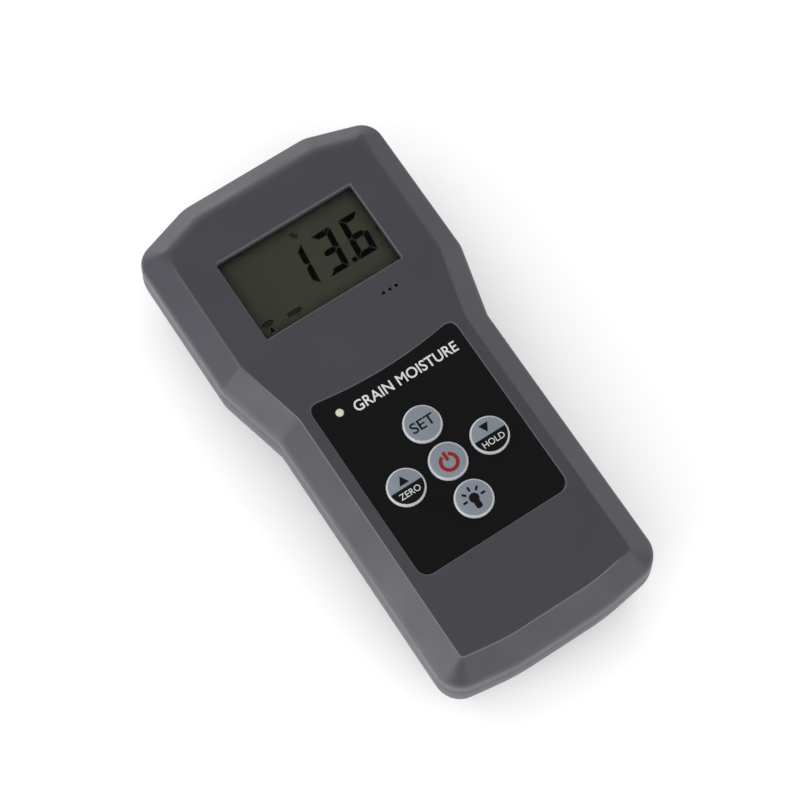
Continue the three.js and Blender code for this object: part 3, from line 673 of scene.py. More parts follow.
def front_rings():
    """Rings of the front half from the parting line up to the edge of the flat face.

    The ridge round the face is crisp on the grip and soft on the head, so its rounding is worked out
    for each point of the outline. The second list says how much painted highlight and painted light each
    point gets.
    """
    flat_inset = {border: width + CAP_MARGIN for border, width in BEVEL.items()}
    foot = at(case_outline(FOOT_INSET), BEVEL_Z)
    ridge, flat = at(case_outline(BEVEL), FACE_Z), at(case_outline(flat_inset, FLAT_CORNER), FACE_Z)
    rings = [at(case_outline(PARTING_INSET + extra), PARTING_Z + rise) for rise, extra in PARTING_LIP]
    wall = rings[-1]
    for k in range(FOOT_STEPS + 1):
        ring = []
        for low, edge, high in zip(wall, foot, ridge):
            below = edge.lerp(low, FOOT_ROUND / (low - edge).length)
            above = edge.lerp(high, FOOT_ROUND / (high - edge).length)
            ring.append(quadratic(below, edge, above, k / FOOT_STEPS))
        rings.append(ring)
    # painted light on the walls, fading out over the rounding at the foot of the border
    painted_light = []
    for r in range(len(rings)):
        painted_light += [WALL_PAINTED_LIGHT * (1 - ease(r, *WALL_PAINTED_LIGHT_FADE))] * len(ridge)
    for k in range(RIDGE_STEPS + 1):
        ring = []
        for edge, high, inner in zip(foot, ridge, flat):
            soft = RIDGE_ROUND + change(high.y, HEAD_SOFTER) + change(high.y, TOP_SOFTER)
            below = high.lerp(edge, soft / (high - edge).length)
            above = high.lerp(inner, soft / CAP_MARGIN)
            ring.append(quadratic(below, high, above, k / RIDGE_STEPS))
            # painted highlight along the ridge, fainter where the ridge is soft and on the right, away from
            # the light
            highlight_amount = min(1, RIDGE_ROUND / soft) ** 1.5 * (1 - change(high.x, RIGHT_HIGHLIGHT_DROP))
            painted_light.append(highlight_amount * sin(pi * k / RIDGE_STEPS) ** 2)
        rings.append(ring)
    return rings, painted_light


def build_front_case():
    rings, painted_light = front_rings()
    case = body("front_case", rings)
    # the painted highlight and painted light, kept as a point attribute for the casing material
    case.data.attributes.new("painted_light", "FLOAT", "POINT").data.foreach_set("value", painted_light)
    cavity_top = {border: width + CAVITY_MARGIN for border, width in BEVEL.items()}
    cavity = [at(case_outline(PARTING_INSET + SHELL), PARTING_Z - 1)]
    cavity.append(at(case_outline(FOOT_INSET + SHELL), BEVEL_Z - CAVITY_DROP))
    cavity.append(at(case_outline(cavity_top), CEILING))
    window_size = (WINDOW["width"], WINDOW["height"], WINDOW["corner"])
    window = rectangle_at(*window_size, centre_of("lcd_lens"))
    cutters = [body("cutter", cavity)]
    cutters.append(flared_cutter(window, CEILING - 1, WINDOW_RIM))
    recess = flared_cutter(lambda grow: label_outline(grow + LABEL_AIR), FACE_Z - LABEL_DEPTH, LABEL_RIM)
    cutters.append(recess)
    for name in KEY_NAMES:
        cutters.append(shaft_cutter(KEY_RADIUS + GAP, centre_of(f"key_{name}")))
    cutters.append(shaft_cutter(LAMP_HOLE + LAMP_AIR, centre_of("indicator_led")))
    for step in (-1, 0, 1):
        spot = Vector((SOUND_HOLES["x"] + step * SOUND_HOLES["pitch"], SOUND_HOLES["y"]))
        hole = circle_at(SOUND_HOLES["radius"], spot, SOUND_HOLES["pieces"])
        cutters.append(flared_cutter(hole, CEILING - 1, SOUND_HOLES["rim"]))
    carve(case, *cutters)
    paint_rim_highlights(case)
    even_shading(case, CASE_SHARP)
    place(case, "meter_case", CASING, ["front_shell"])


def paint_rim_highlights(case):
    """Paints highlights on the chamfers round the window and the label, through the points at their lower
    edge.

    The other points that the cutters made get no painted highlight, so that the flat face stays even.
    """
    window_top = centre_of("lcd_lens").y + WINDOW["height"] / 2
    painted_light = case.data.attributes["painted_light"].data
    for vertex, value in zip(case.data.vertices, painted_light):
        x, y, z = vertex.co / MM
        if abs(x) < LABEL_HIGH.x + 1 and LABEL_LOW.y - 1 < y < window_top + 1:
            on_rim = min(abs(FACE_Z - z - rim) for rim in (WINDOW_RIM, LABEL_RIM)) < NEAR
            value.value = RIM_HIGHLIGHT if on_rim else 0


def back_profile():
    """The flank of the back half as (z, inset) pairs, rounded between its corners, from high to low."""
    points = [Vector(p) for p in BACK_FLANK]
    profile = [(PARTING_Z - GAP - drop, PARTING_INSET + extra) for drop, extra in PARTING_LIP]
    for a, b, c in zip(points, points[1:], points[2:]):
        for k in range(FLANK_STEPS):
            p = quadratic(a.lerp(b, 0.5), b, b.lerp(c, 0.5), k / FLANK_STEPS)
            if p.x < PARTING_Z - 1:
                profile.append((p.x, p.y))
    a, b = points[-2], points[-1]
    profile += [(p.x, p.y) for p in (a.lerp(b, 0.5), a.lerp(b, 0.8))]
    return profile + [(BACK_Z + rise, b.y + extra) for rise, extra in BACK_EDGE]


def back_rings():
    return [at(case_outline(inset), z) for z, inset in reversed(back_profile())]


def door_space():
    """Cutters for the battery door and for its rails, as blocks that run out of the tail."""
    low = (-DOOR_HALF - DOOR_AIR, PAST_TAIL, UNDER_CASE)
    high = (DOOR_HALF + DOOR_AIR, DOOR_HIGH.y + DOOR_AIR, DOOR_HIGH.z + DOOR_AIR)
    panel = block("cutter", low, high)
    low = (DOOR_LOW.x - GAP, PAST_TAIL, RAIL_Z - GAP)
    high = (DOOR_HIGH.x + GAP, DOOR_HIGH.y + GAP, DOOR_HIGH.z + DOOR_AIR)
    return panel, block("cutter", low, high)


def build_back_case():
    case = body("back_case", back_rings())
    inner_wall = case_outline(PARTING_INSET + SHELL)
    cavity = [at(case_outline(BACK_CAVITY["inset"]), BACK_CAVITY["floor"])]
    cavity += [at(inner_wall, BACK_CAVITY["full"]), at(inner_wall, PARTING_Z + 1)]
    bay_low = Vector((-BAY["half_width"], box_of("battery_spring_1")[0].y - BAY["margin"], UNDER_CASE))
    bay_high = Vector((BAY["half_width"], box_of("battery_spring_2")[1].y + BAY["margin"], BAY["top"]))
    panel, rails = door_space()
    cutters = [body("cutter", cavity), panel, block("cutter", bay_low, bay_high), rails]
    size = CARRIER_HIGH - CARRIER_LOW
    width, length = size.x - 2 * SENSOR["step"], size.y - 2 * SENSOR["step"]
    opening = rectangle_at(width, length, SENSOR["corner"] + GAP, centre_of("sensor_carrier"))
    cutters.append(well_cutter(opening, BACK_Z, BACK_RIM, SENSOR["well_top"]))
    for number in range(1, 5):
        well = circle_at(SCREW_WELL, centre_of(f"case_screw_{number}"))
        cutters.append(well_cutter(well, BACK_Z, BACK_RIM, SCREW_SEAT_Z))
    carve(case, *cutters)
    even_shading(case, CASE_SHARP)
    place(case, "meter_case", BACK_CASING_PAINTED_LIGHT, ["back_shell"])


def build_battery_door():
    """The door has the case's own flank at its tail, rails, two runners and a ribbed thumb grip."""
    door = body("battery_cover_panel", back_rings())
    keep = block("cutter", (-DOOR_HALF, DOOR_LOW.y - 5, UNDER_CASE), (DOOR_HALF, DOOR_HIGH.y, DOOR_HIGH.z))
    carve(door, keep, operation="INTERSECT")
    rail_start = box_of("battery_spring_1")[0].y - RAIL_LEAD
    for side in (-1, 1):
        x0, x1 = sorted((side * (DOOR_HALF - RAIL_ROOT), side * DOOR_HIGH.x))
        low = (x0, rail_start, RAIL_Z)
        high = (x1, DOOR_HIGH.y - RAIL_END_STEP, DOOR_HIGH.z - RAIL_TOP_STEP)
        carve(door, block("cutter", low, high), operation="UNION")
    grooves = []
    for step in range(THUMB_GRIP["ribs"]):
        y = DOOR_LOW.y + THUMB_GRIP["first"] + THUMB_GRIP["pitch"] * step
        from_middle = step - THUMB_GRIP["ribs"] // 2
        half_width = THUMB_GRIP["half_width"] - THUMB_GRIP["taper"] * from_middle**2
        groove = rounded_rectangle(2 * half_width, THUMB_GRIP["groove"], THUMB_GRIP["corner"], 0, y, 6)
        grooves.append(body("cutter", [at(groove, -1), at(groove, BACK_Z + THUMB_GRIP["depth"])]))
    carve(door, *grooves)
    soften(door, 0.18, 3, 50)
    place(door, "battery_cover", BACK_CASING_PAINTED_LIGHT, ["battery_door"])
    for number, x in enumerate((-RUNNER["x"], RUNNER["x"]), 1):
        spot = Vector((x, RUNNER["y"]))
        outline_at = rectangle_at(RUNNER["width"], RUNNER["length"], RUNNER["corner"], spot, 10)
        rings = [at(outline_at(-RUNNER["edge"]), 0), at(outline_at(0), RUNNER["edge"])]
        rings.append(at(outline_at(0), BACK_Z + RUNNER["sunk"]))
        runner = body(f"cover_runner_{number}", rings)
        even_shading(runner)
        place(runner, "battery_cover", BACK_CASING_PAINTED_LIGHT)


# ---- label, keys and legends


def text_piece(name, words, size, spot, material, weight, stretch, ride_on="meter_case", slot="label"):
    """Flat printed words centred on a spot (x, y, z of the surface) in millimetres."""
    curve = bpy.data.curves.new(name, "FONT")
    curve.body = words
    curve.size = size * MM
    curve.offset = weight * MM
    curve.extrude = PRINT / 2 * MM
    curve.align_x = "CENTER"
    curve.align_y = "CENTER"
    curve.resolution_u = 6
    words_object = bpy.data.objects.new(name, curve)
    show(words_object)
    bpy.context.view_layer.update()
    mesh = bpy.data.meshes.new_from_object(words_object)
    bpy.data.objects.remove(words_object)
    bpy.data.curves.remove(curve)
    xs = [v.co.x for v in mesh.vertices]
    ys = [v.co.y for v in mesh.vertices]
    shift = Vector((-(min(xs) + max(xs)) / 2, -(min(ys) + max(ys)) / 2, 0))
    for vertex in mesh.vertices:
        moved = vertex.co + shift
        vertex.co = Vector((moved.x * stretch, moved.y, moved.z)) + Vector(spot) * MM
    piece = bpy.data.objects.new(name, mesh)
    show(piece)
    return place(piece, ride_on, material)


def printed(name, outlines, z, material, ride_on, slot="label"):
    """Flat printed shapes, one closed outline each, as one piece."""
    vertices, faces = [], []
    for outline in outlines:
        v, f = loft([at(outline, z - PRINT / 2), at(outline, z + PRINT / 2)])
        faces += [tuple(i + len(vertices) for i in face) for face in f]
        vertices += v
    return place(make(name, vertices, faces), ride_on, material)


def build_label():
    top = LABEL_HIGH.z
    rings = [at(label_outline(), LABEL_LOW.z), at(label_outline(), top - LABEL_EDGE)]
    rings.append(at(label_outline(-LABEL_EDGE), top))
    label = body("key_label", rings)
    cutters = []
    for name in KEY_NAMES:
        key = centre_of(f"key_{name}")
        wide = circle(KEY_RADIUS + KEY_HOLE_AIR + KEY_HOLE_RIM, key.x, key.y, 64)
        hole = circle(KEY_RADIUS + KEY_HOLE_AIR, key.x, key.y, 64)
        rings = [at(hole, top - 2), at(hole, top - KEY_HOLE_RIM), at(wide, top), at(wide, top + 1)]
        cutters.append(body("cutter", rings))
    led = centre_of("indicator_led")
    hole = circle(LAMP_HOLE, led.x, led.y)
    cutters.append(body("cutter", [at(hole, top - 2), at(hole, top + 1)]))
    carve(label, *cutters)
    even_shading(label)
    place(label, "meter_case", LABEL, ["overlay_label"])
    title_spot = (POWER_KEY.x + TITLE["x"], POWER_KEY.y + TITLE["y"], top + INK_LIFT)
    text_piece("label_title", TITLE["words"], TITLE["size"], title_spot, INK_WHITE, 0.05, 0.93)


def arc_band(radius, width, start, end, x, y, pieces=24):
    """A curved band as a closed outline. Angles are in degrees, anticlockwise from +X."""
    outline = []
    for r, order in ((radius + width / 2, range(pieces + 1)), (radius - width / 2, range(pieces, -1, -1))):
        for k in order:
            a = radians(start + (end - start) * k / pieces)
            outline.append(Vector((x + r * cos(a), y + r * sin(a))))
    return outline


def bar_shape(length, width, x, y, angle=0.0):
    """A rounded bar centred on x, y, as a closed outline."""
    turn = radians(angle)
    points = rounded_rectangle(length, width, width * 0.35, 0, 0, 4)
    rotated = []
    for p in points:
        rotated.append(Vector((x + p.x * cos(turn) - p.y * sin(turn),
                               y + p.x * sin(turn) + p.y * cos(turn))))
    return rotated


def lower_half_disc(radius, x, y, pieces=32):
    angles = [pi * (1 + k / pieces) for k in range(pieces + 1)]
    return [Vector((x + radius * cos(a), y + radius * sin(a))) for a in angles]


def build_key(name):
    """A translucent cap with a rounded shoulder and a satin face let into it."""
    low, high = box_of(f"key_{name}")
    spot = centre_of(f"key_{name}")
    top = high.z
    ride_on = f"{name}_key"
    flange_foot, flange_top = (low.z + rise for rise in KEY_FLANGE_RISE)
    profile = [(0, low.z), (KEY_STEM, low.z), (KEY_STEM, flange_foot)]
    profile += [(KEY_FLANGE, flange_foot), (KEY_FLANGE, flange_top)]
    profile += [(KEY_RADIUS, flange_top), (KEY_RADIUS, top - KEY_SHOULDER - KEY_DISH)]
    for k in range(1, SHOULDER_STEPS + 1):
        a = QUARTER * k / SHOULDER_STEPS
        rise = KEY_SHOULDER * sin(a)
        profile.append((KEY_RADIUS - KEY_SHOULDER * (1 - cos(a)), top - KEY_SHOULDER - KEY_DISH + rise))
    profile += [(KEY_FACE_RADIUS - KEY_FACE_STEP, top - KEY_DISH), (0, top - KEY_DISH)]
    cap = lathe(f"cap_{name}", profile, (spot.x, spot.y, 0))
    place(cap, ride_on, KEY_RIM, [f"key_{name}"])
    face_z = top - FACE_DROP
    foot, edge = face_z - FACE_THICKNESS, KEY_FACE_RADIUS - FACE_THICKNESS
    face_profile = [(0, foot), (KEY_FACE_RADIUS, foot), (KEY_FACE_RADIUS, face_z - FACE_CHAMFER)]
    face_profile += [(edge, face_z), (0, face_z)]
    face = lathe(f"face_{name}", face_profile, (spot.x, spot.y, 0))
    place(face, ride_on, KEY_FACE)
    return spot, face_z + PRINT / 2, ride_on


def legend_words(name, words, size, weight, place_on, dy, material, stretch=1.0):
    """Words on a key. place_on is what build_key returns."""
    spot, z, ride_on = place_on
    text_spot = (spot.x, spot.y + dy, z)
    text_piece(f"legend_{name}", words, size, text_spot, material, weight, stretch, ride_on)


def build_split_key(name, words, arrow_up):
    """A key whose lower half is black with white words, under a black arrow."""
    spot, z, ride_on = build_key(name)
    band = lower_half_disc(KEY_FACE_RADIUS - BAND_MARGIN, spot.x, spot.y)
    printed(f"band_{name}", [band], z, INK_BLACK, ride_on)
    above_band = (spot, z + PRINT, ride_on)
    legend_words(name, words, 2.5, 0.0, above_band, -1.85, INK_WHITE, 0.97)
    tip, foot = ARROW["up"] if arrow_up else ARROW["down"]
    arrow = [Vector((spot.x + side * ARROW["half"], spot.y + foot)) for side in (-1, 1)]
    arrow.append(Vector((spot.x, spot.y + tip)))
    if not arrow_up:
        arrow.reverse()
    printed(f"arrow_{name}", [arrow], z, INK_BLACK, ride_on)


def build_power_key():
    spot, z, ride_on = build_key("power")
    width, gap = POWER_SIGN["width"], POWER_SIGN["gap"]
    ring = arc_band(POWER_SIGN["radius"], width, 90 + gap, 450 - gap, spot.x, spot.y + POWER_SIGN["y"], 40)
    stroke = bar_shape(POWER_SIGN["stroke"], width, spot.x, spot.y + POWER_SIGN["stroke_y"], 90)
    printed("legend_power", [ring, stroke], z, INK_RED, ride_on)


def build_light_key():
    spot, z, ride_on = build_key("light")
    middle = spot.y + LAMP_SIGN["y"]
    bulb = circle(LAMP_SIGN["radius"], spot.x, middle, 32)
    stem = bar_shape(*LAMP_SIGN["stem"], spot.x, spot.y + LAMP_SIGN["stem_y"], 90)
    rays = []
    for angle in (180, 135, 90, 45, 0):
        a = radians(angle)
        x, y = spot.x + LAMP_SIGN["reach"] * cos(a), middle + LAMP_SIGN["reach"] * sin(a)
        rays.append(bar_shape(*LAMP_SIGN["ray"], x, y, angle))
    printed("legend_light", [bulb], z, INK_BLACK, ride_on)
    printed("legend_light_stem", [stem], z + 0.005, INK_BLACK, ride_on)
    printed("legend_light_rays", rays, z, INK_BLACK, ride_on)


def build_keys():
    legend_words("function", "SET", 4.2, 0.04, build_key("function"), 0.0, INK_BLACK, 1.1)
    build_power_key()
    build_light_key()
    build_split_key("zero", "ZERO", True)
    build_split_key("hold", "HOLD", False)


def build_indicator():
    """A round lamp with a domed top."""
    foot = box_of("indicator_led")[0].z
    spot = centre_of("indicator_led")
    top = LABEL_HIGH.z + LAMP["proud"]
    radius, dome = LAMP["radius"], LAMP["dome"]
    profile = [(0, foot), (radius, foot), (radius, top - dome)]
    profile += [(radius * cos(a), top - dome + dome * sin(a)) for a in (0.4, 0.8, 1.2)]
    profile.append((0, top))
    led = lathe("indicator_lamp", profile, (spot.x, spot.y, 0), 40)
    place(led, "meter_case", LED, ["indicator_led"])


# ---- display

DIGIT_HEIGHT = 12.66
DIGIT_WIDTH = 6.0
SEGMENT_WIDTH = 1.72
SEGMENT_GAP = 0.16
PANE_AIR = 0.5
PANE_EDGE = 0.15
DIGITS = {  # places of the lower left corners, from the middle of the window
    "baseline": -6.27,
    "places": (("1", -6.08), ("3", 3.09), ("6", 11.96)),
    "dot_x": 11.07,
    "dot_radius": 0.8,
}
SLANT = tan(radians(6))
LIT = {"1": "bc", "3": "abgcd", "6": "afgedc"}
DISPLAY_WORDS = (
    # piece, words, size, weight, x, y from the window's middle
    ("display_percent", "%", 2.9, 0.02, 0.96, 9.44),
    ("display_max", "max", 2.65, 0.06, -10.39, -9.37),
)
SIGNAL = {
    "x": -18.3,
    "y": -10.17,
    "radii": (1.3, 1.9, 2.5),
    "width": 0.34,
    "mast": (-0.9, 0.7, 0.6),  # foot, tip and half width
}


def segment_outline(letter, x, y):
    """One bar of a seven-segment digit whose lower left corner is x, y, before slanting."""
    w, h, t, gap = DIGIT_WIDTH, DIGIT_HEIGHT, SEGMENT_WIDTH, SEGMENT_GAP
    half = h / 2
    inner = t + gap / 2  # where the level bars narrow to, on both sides
    right = w - inner
    level, upper, lower = half + gap, half + t / 2 + gap, half - t / 2 - gap
    sides = {
        "a": [(gap, h), (w - gap, h), (right, h - t), (inner, h - t)],
        "d": [(gap, 0), (inner, t), (right, t), (w - gap, 0)],
        "g": [(gap + t / 2, half), (inner, half + t / 2), (right, half + t / 2),
              (w - gap - t / 2, half), (right, half - t / 2), (inner, half - t / 2)],
        "f": [(0, h - gap), (t, h - t - gap), (t, upper), (t / 2, level), (0, level)],
        "b": [(w, h - gap), (w - t, h - t - gap), (w - t, upper), (w - t / 2, level), (w, level)],
        "e": [(0, gap), (t, t + gap), (t, lower), (t / 2, half - gap), (0, half - gap)],
        "c": [(w, gap), (w - t, t + gap), (w - t, lower), (w - t / 2, half - gap), (w, half - gap)],
    }
    points = [Vector((x + px + py * SLANT, y + py)) for px, py in sides[letter]]
    area = sum(cross(a, b) for a, b in zip(points, points[1:] + points[:1]))
    return points if area > 0 else points[::-1]


def build_display():
    """The glass, its printed segments and the clear window over them."""
    refinish("lcd_glass", LCD)
    window_y = centre_of("lcd_lens").y
    width, height, corner = WINDOW["width"], WINDOW["height"], WINDOW["corner"]
    outer = rounded_rectangle(width - PANE_AIR, height - PANE_AIR, corner, 0, window_y)
    trim = PANE_AIR + 2 * PANE_EDGE
    inner = rounded_rectangle(width - trim, height - trim, corner, 0, window_y)
    rings = [at(outer, LENS_LOW.z), at(outer, LENS_HIGH.z - PANE_EDGE), at(inner, LENS_HIGH.z)]
    lens = body("display_window", rings)
    even_shading(lens)
    place(lens, "meter_case", LENS, ["lcd_lens"])

    ink_z = GLASS_HIGH.z + INK_LIFT
    baseline = window_y + DIGITS["baseline"]
    outlines = []
    for digit, x in DIGITS["places"]:
        outlines += [segment_outline(letter, x, baseline) for letter in LIT[digit]]
    dot = DIGITS["dot_radius"]
    outlines.append(circle(dot, DIGITS["dot_x"], baseline + dot, 20))
    on_glass = {"ride_on": "meter_case", "slot": "lcd_glass"}
    printed("display_digits", outlines, ink_z, SEGMENT, **on_glass)
    for name, words, size, weight, x, dy in DISPLAY_WORDS:
        text_piece(name, words, size, (x, window_y + dy, ink_z), SEGMENT, weight, 1.0, **on_glass)
    x, y = SIGNAL["x"], window_y + SIGNAL["y"]
    waves = [arc_band(r, SIGNAL["width"], 45, 135, x, y, 10) for r in SIGNAL["radii"]]
    foot, tip, half = SIGNAL["mast"]
    waves.append([Vector((x - half, y + foot)), Vector((x + half, y + foot)), Vector((x, y + tip))])
    printed("display_signal", waves, ink_z, SEGMENT, **on_glass)


# ---- underside


def build_electrode(side):
    """A steel plate with a rounded edge. Returns the cutter for its pocket in the carrier."""
    low, high = box_of(f"sensor_electrode_{side}")
    size, spot = high - low, (low + high) / 2
    edge = SENSOR["plate_edge"]
    plate_at = rectangle_at(size.x, size.y, SENSOR["plate_corner"], spot, 10)
    rings = [at(plate_at(-edge), low.z), at(plate_at(0), low.z + edge), at(plate_at(0), SENSOR["plate_top"])]
    electrode = body(f"electrode_plate_{side}", rings)
    even_shading(electrode)
    place(electrode, "meter_case", ELECTRODE, [f"sensor_electrode_{side}"])
    air = SENSOR["plate_air"]
    pocket = rectangle_at(size.x + 2 * air, size.y + 2 * air, SENSOR["plate_corner"] + air, spot, 10)
    return well_cutter(pocket, CARRIER_LOW.z, SENSOR["pocket_rim"], SENSOR["pocket_top"])


def build_sensor():
    """The insulating block on the back, with two electrodes let into it."""
    size = CARRIER_HIGH - CARRIER_LOW
    width, length = size.x - 2 * SENSOR["inset"], size.y - 2 * SENSOR["inset"]
    block_at = rectangle_at(width, length, SENSOR["corner"], centre_of("sensor_carrier"), 10)
    low, edge = CARRIER_LOW.z, SENSOR["edge"]
    rings = [at(block_at(-edge), low), at(block_at(0), low + edge), at(block_at(0), CARRIER_HIGH.z)]
    carrier = body("sensor_block", rings)
    carve(carrier, *[build_electrode(side) for side in ("left", "right")])
    even_shading(carrier)
    place(carrier, "meter_case", BLACK_PLASTIC, ["sensor_carrier"])


def build_case_screws():
    """Pan heads with a cross recess, seen down their wells."""
    head, height, shank = SCREW["head"], SCREW["height"], SCREW["shank"]
    for number in range(1, 5):
        low, high = box_of(f"case_screw_{number}")
        spot = (low + high) / 2
        profile = [(0, low.z)]
        for a in (0.35, 0.7, 1.05, 1.4):
            profile.append((head * sin(a), low.z + SCREW["dome"] * (1 - cos(a))))
        profile += [(head, low.z + SCREW["rim"]), (head, low.z + height)]
        profile += [(shank, low.z + height), (shank, high.z - 1), (0, high.z)]
        screw = lathe(f"cross_screw_{number}", profile, (spot.x, spot.y, 0), 40)
        cutters = []
        for turn in (20, 110):
            slot = bar_shape(*SCREW["slot"], spot.x, spot.y, turn)
            cutters.append(body("cutter", [at(slot, low.z - 1), at(slot, low.z + SCREW["recess"])]))
        carve(screw, *cutters)
        smooth(screw)
        place(screw, "meter_case", STEEL, [f"case_screw_{number}"])


# ---- battery bay


def turned_along_y(name, profile, spot, sign, pieces=56):
    """A profile of (radius, distance along Y) pairs turned about a Y axis through spot."""
    piece = lathe(name, profile, (0, 0, 0), pieces)
    for vertex in piece.data.vertices:
        x, y, z = vertex.co
        vertex.co = Vector((spot[0] * MM + x, spot[1] * MM + sign * z, spot[2] * MM + sign * y))
    return piece


def faces_head(number):
    """Whether a cell's flat end is at the tail, so that it points to the head."""
    return number % 2 == 1


def build_batteries():
    """AAA cells with a printed sleeve, a white stripe near the flat end and a steel cap at the other."""
    for number in range(1, 5):
        low, high = box_of(f"battery_{number}")
        sign, start = (1, low.y) if faces_head(number) else (-1, high.y)
        length, radius = high.y - low.y, (high.x - low.x) / 2
        sleeve_end = length - CELL["cap"]
        spot = ((low.x + high.x) / 2, start, (low.z + high.z) / 2)
        jacket = [(0, 0.05), (radius - 0.9, 0.05), (radius - 0.4, 0.15), (radius, 0.6)]
        jacket += [(radius, sleeve_end - 0.55), (radius - 0.35, sleeve_end - 0.1)]
        jacket += [(radius - 1.1, sleeve_end), (0, sleeve_end)]
        cell = turned_along_y(f"cell_{number}", jacket, spot, sign)
        place(cell, "meter_case", SLEEVE, [f"battery_{number}"])
        foot, edge = sleeve_end - 0.01, CELL["cap_edge"]
        cap = [(0, foot), (CELL["cap_radius"], foot), (CELL["cap_radius"], length - edge)]
        cap += [(CELL["cap_radius"] - edge, length), (0, length)]
        nub = turned_along_y(f"cell_nub_{number}", cap, spot, sign, 32)
        place(nub, "meter_case", STEEL)
        first, last = CELL["stripe"]
        outside = radius + 0.02
        band = [(0, first), (outside, first), (outside, last), (0, last)]
        stripe = turned_along_y(f"cell_stripe_{number}", band, spot, sign)
        place(stripe, "meter_case", INK_WHITE)


def tube(name, centres, radius, sides=10):
    """A round wire through a list of points, with closed ends."""
    rings = []
    across = None
    for i, p in enumerate(centres):
        before, after = centres[max(0, i - 1)], centres[min(len(centres) - 1, i + 1)]
        along = (after - before).normalized()
        across = along.orthogonal() if across is None else across - along * across.dot(along)
        across.normalize()
        up = along.cross(across)
        angles = [2 * pi * k / sides for k in range(sides)]
        rings.append([p + across * (radius * cos(a)) + up * (radius * sin(a)) for a in angles])
    return make(name, *loft(rings), 60)


def build_contacts():
    """A coil spring and a flat plate for each cell."""
    for number in range(1, 5):
        low, high = box_of(f"battery_spring_{number}")
        sign, foot = (1, low.y) if faces_head(number) else (-1, high.y)
        travel = high.y - low.y - 2 * COIL["end"]
        cell = centre_of(f"battery_{number}")
        centres = []
        for k in range(COIL["pieces"] + 1):
            t = k / COIL["pieces"]
            a = 2 * pi * COIL["turns"] * t
            r = COIL["radius"] - COIL["taper"] * t
            y = foot + sign * (COIL["end"] + travel * t)
            centres.append(Vector((cell.x + r * cos(a), y, cell.z + r * sin(a))))
        spring = tube(f"coil_{number}", centres, COIL["wire"])
        place(spring, "meter_case", STEEL, [f"battery_spring_{number}"])
        plate = block(f"contact_{number}", *box_of(f"battery_plate_{number}"))
        soften(plate, 0.12, 2)
        place(plate, "meter_case", STEEL, [f"battery_plate_{number}"])


# ---- pieces inside the case


def finish_inner_nodes():
    """Materials for the CAD pieces that stay as they are."""
    finishes = {
        "lcd_frame": BLACK_PLASTIC,
        "lcd_backlight": WHITE_PLASTIC,
        "lcd_connector_head": RUBBER,
        "lcd_connector_tail": RUBBER,
        "main_board": BOARD,
        "sensor_board": BOARD,
        "microcontroller": CHIP,
        "buzzer": BLACK_PLASTIC,
        "battery_lead_positive": RED_WIRE,
        "battery_lead_negative": BLACK_WIRE,
        "sensor_lead": BLACK_WIRE,
        "sensor_socket": WHITE_PLASTIC,
    }
    finishes.update({f"board_screw_{number}": STEEL for number in range(1, 5)})
    for name in KEY_NAMES:
        finishes[f"switch_body_{name}"] = BLACK_PLASTIC
        finishes[f"switch_plunger_{name}"] = BLACK_PLASTIC
    for node, material in finishes.items():
        refinish(node, material)


# ---- stage

SKY_STRENGTH = 1.0
SOFTBOXES = (
    # name, place, size, power, aim
    ("left_softbox", (-425, -60, 95), (300, 150), 1.65, (0, -30, 20)),
    ("right_softbox", (430, -60, 95), (300, 150), 0.34, (0, -40, 20)),
    ("tail_softbox", (110, -640, 120), (460, 180), 1.7, (0, 0, 20)),
    ("head_softbox", (-20, 800, 120), (700, 200), 3.7, (0, 0, 20)),
)
CAMERA = {
    "angles": (-32.72, 70.66, -0.53),  # azimuth, elevation and roll in degrees
    "distance": 641.5,
    "aim": (-1.24, 20.91),  # from the power key
    "sensor": 36,
    "lens": 110.26,
}
FLOOR_HALF = 1500
FLOOR_THICKNESS = 2


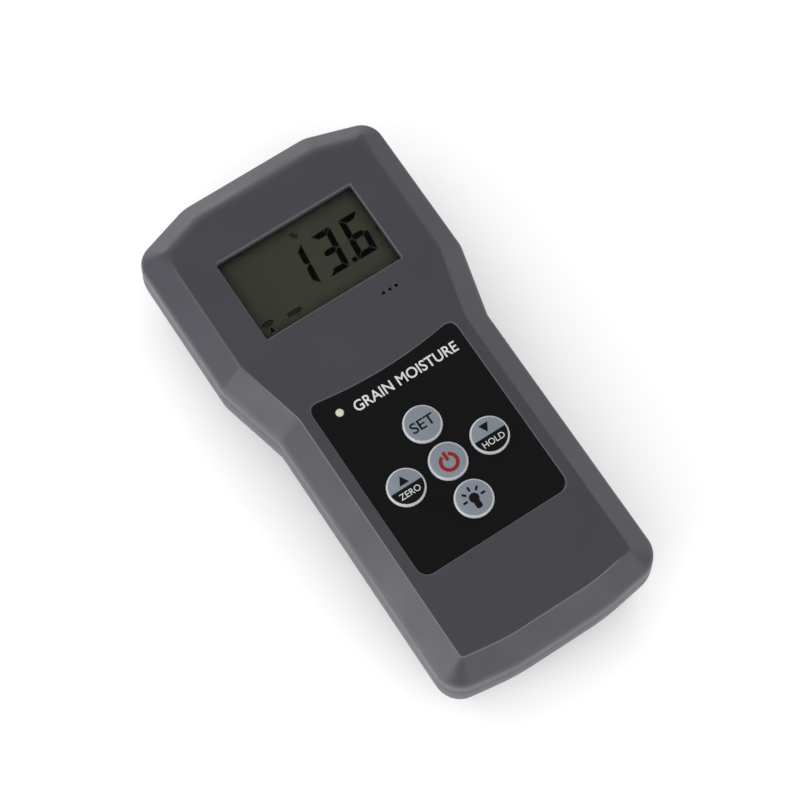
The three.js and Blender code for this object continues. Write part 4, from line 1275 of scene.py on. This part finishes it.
def build_floor():
    half = FLOOR_HALF
    floor = block("floor", (-half, -half, -FLOOR_THICKNESS), (half, half, 0))
    material = surface("pale_floor", (0.92, 0.92, 0.92), 0.9, 0.01, grain=300, depth=0.01, patches=4)
    floor.data.materials.append(material)


def area_light(name, spot, size, power, aim):
    light = bpy.data.lights.new(name, "AREA")
    light.shape = "RECTANGLE"
    light.size, light.size_y = size[0] * MM, size[1] * MM
    light.energy = power
    lamp = bpy.data.objects.new(name, light)
    lamp.location = Vector(spot) * MM
    lamp.rotation_euler = (Vector(aim) - Vector(spot)).to_track_quat("-Z", "Y").to_euler()
    show(lamp)


def build_lights():
    """An evenly lit studio with four low softboxes, which reach the sloping sides more than the face."""
    world = bpy.data.worlds.new("studio")
    bpy.context.scene.world = world
    world.use_nodes = True
    background = world.node_tree.nodes["Background"]
    background.inputs["Color"].default_value = (1, 1, 1, 1)
    background.inputs["Strength"].default_value = SKY_STRENGTH
    for softbox in SOFTBOXES:
        area_light(*softbox)


def build_camera():
    """A camera that looks down on the meter from beyond its tail, to the left."""
    azimuth, elevation, roll = (radians(angle) for angle in CAMERA["angles"])
    target = Vector((POWER_KEY.x + CAMERA["aim"][0], POWER_KEY.y + CAMERA["aim"][1], FACE_Z))
    level = cos(elevation)
    outward = Vector((sin(azimuth) * level, -cos(azimuth) * level, sin(elevation)))
    camera = bpy.data.cameras.new("camera")
    camera.sensor_width = CAMERA["sensor"]
    camera.lens = CAMERA["lens"]
    camera.clip_start = 0.01
    holder = bpy.data.objects.new("camera", camera)
    holder.location = (target + outward * CAMERA["distance"]) * MM
    look = (-outward).to_track_quat("-Z", "Y").to_matrix().to_4x4()
    holder.rotation_euler = (look @ Matrix.Rotation(roll, 4, "Z")).to_euler()
    show(holder)
    bpy.context.scene.camera = holder


build_camera()
build_floor()
build_lights()
build_front_case()
build_back_case()
build_battery_door()
build_label()
build_keys()
build_indicator()
build_display()
build_sensor()
build_case_screws()
build_batteries()
build_contacts()
finish_inner_nodes()

scene_view = bpy.context.scene.view_settings
scene_view.view_transform = "Standard"
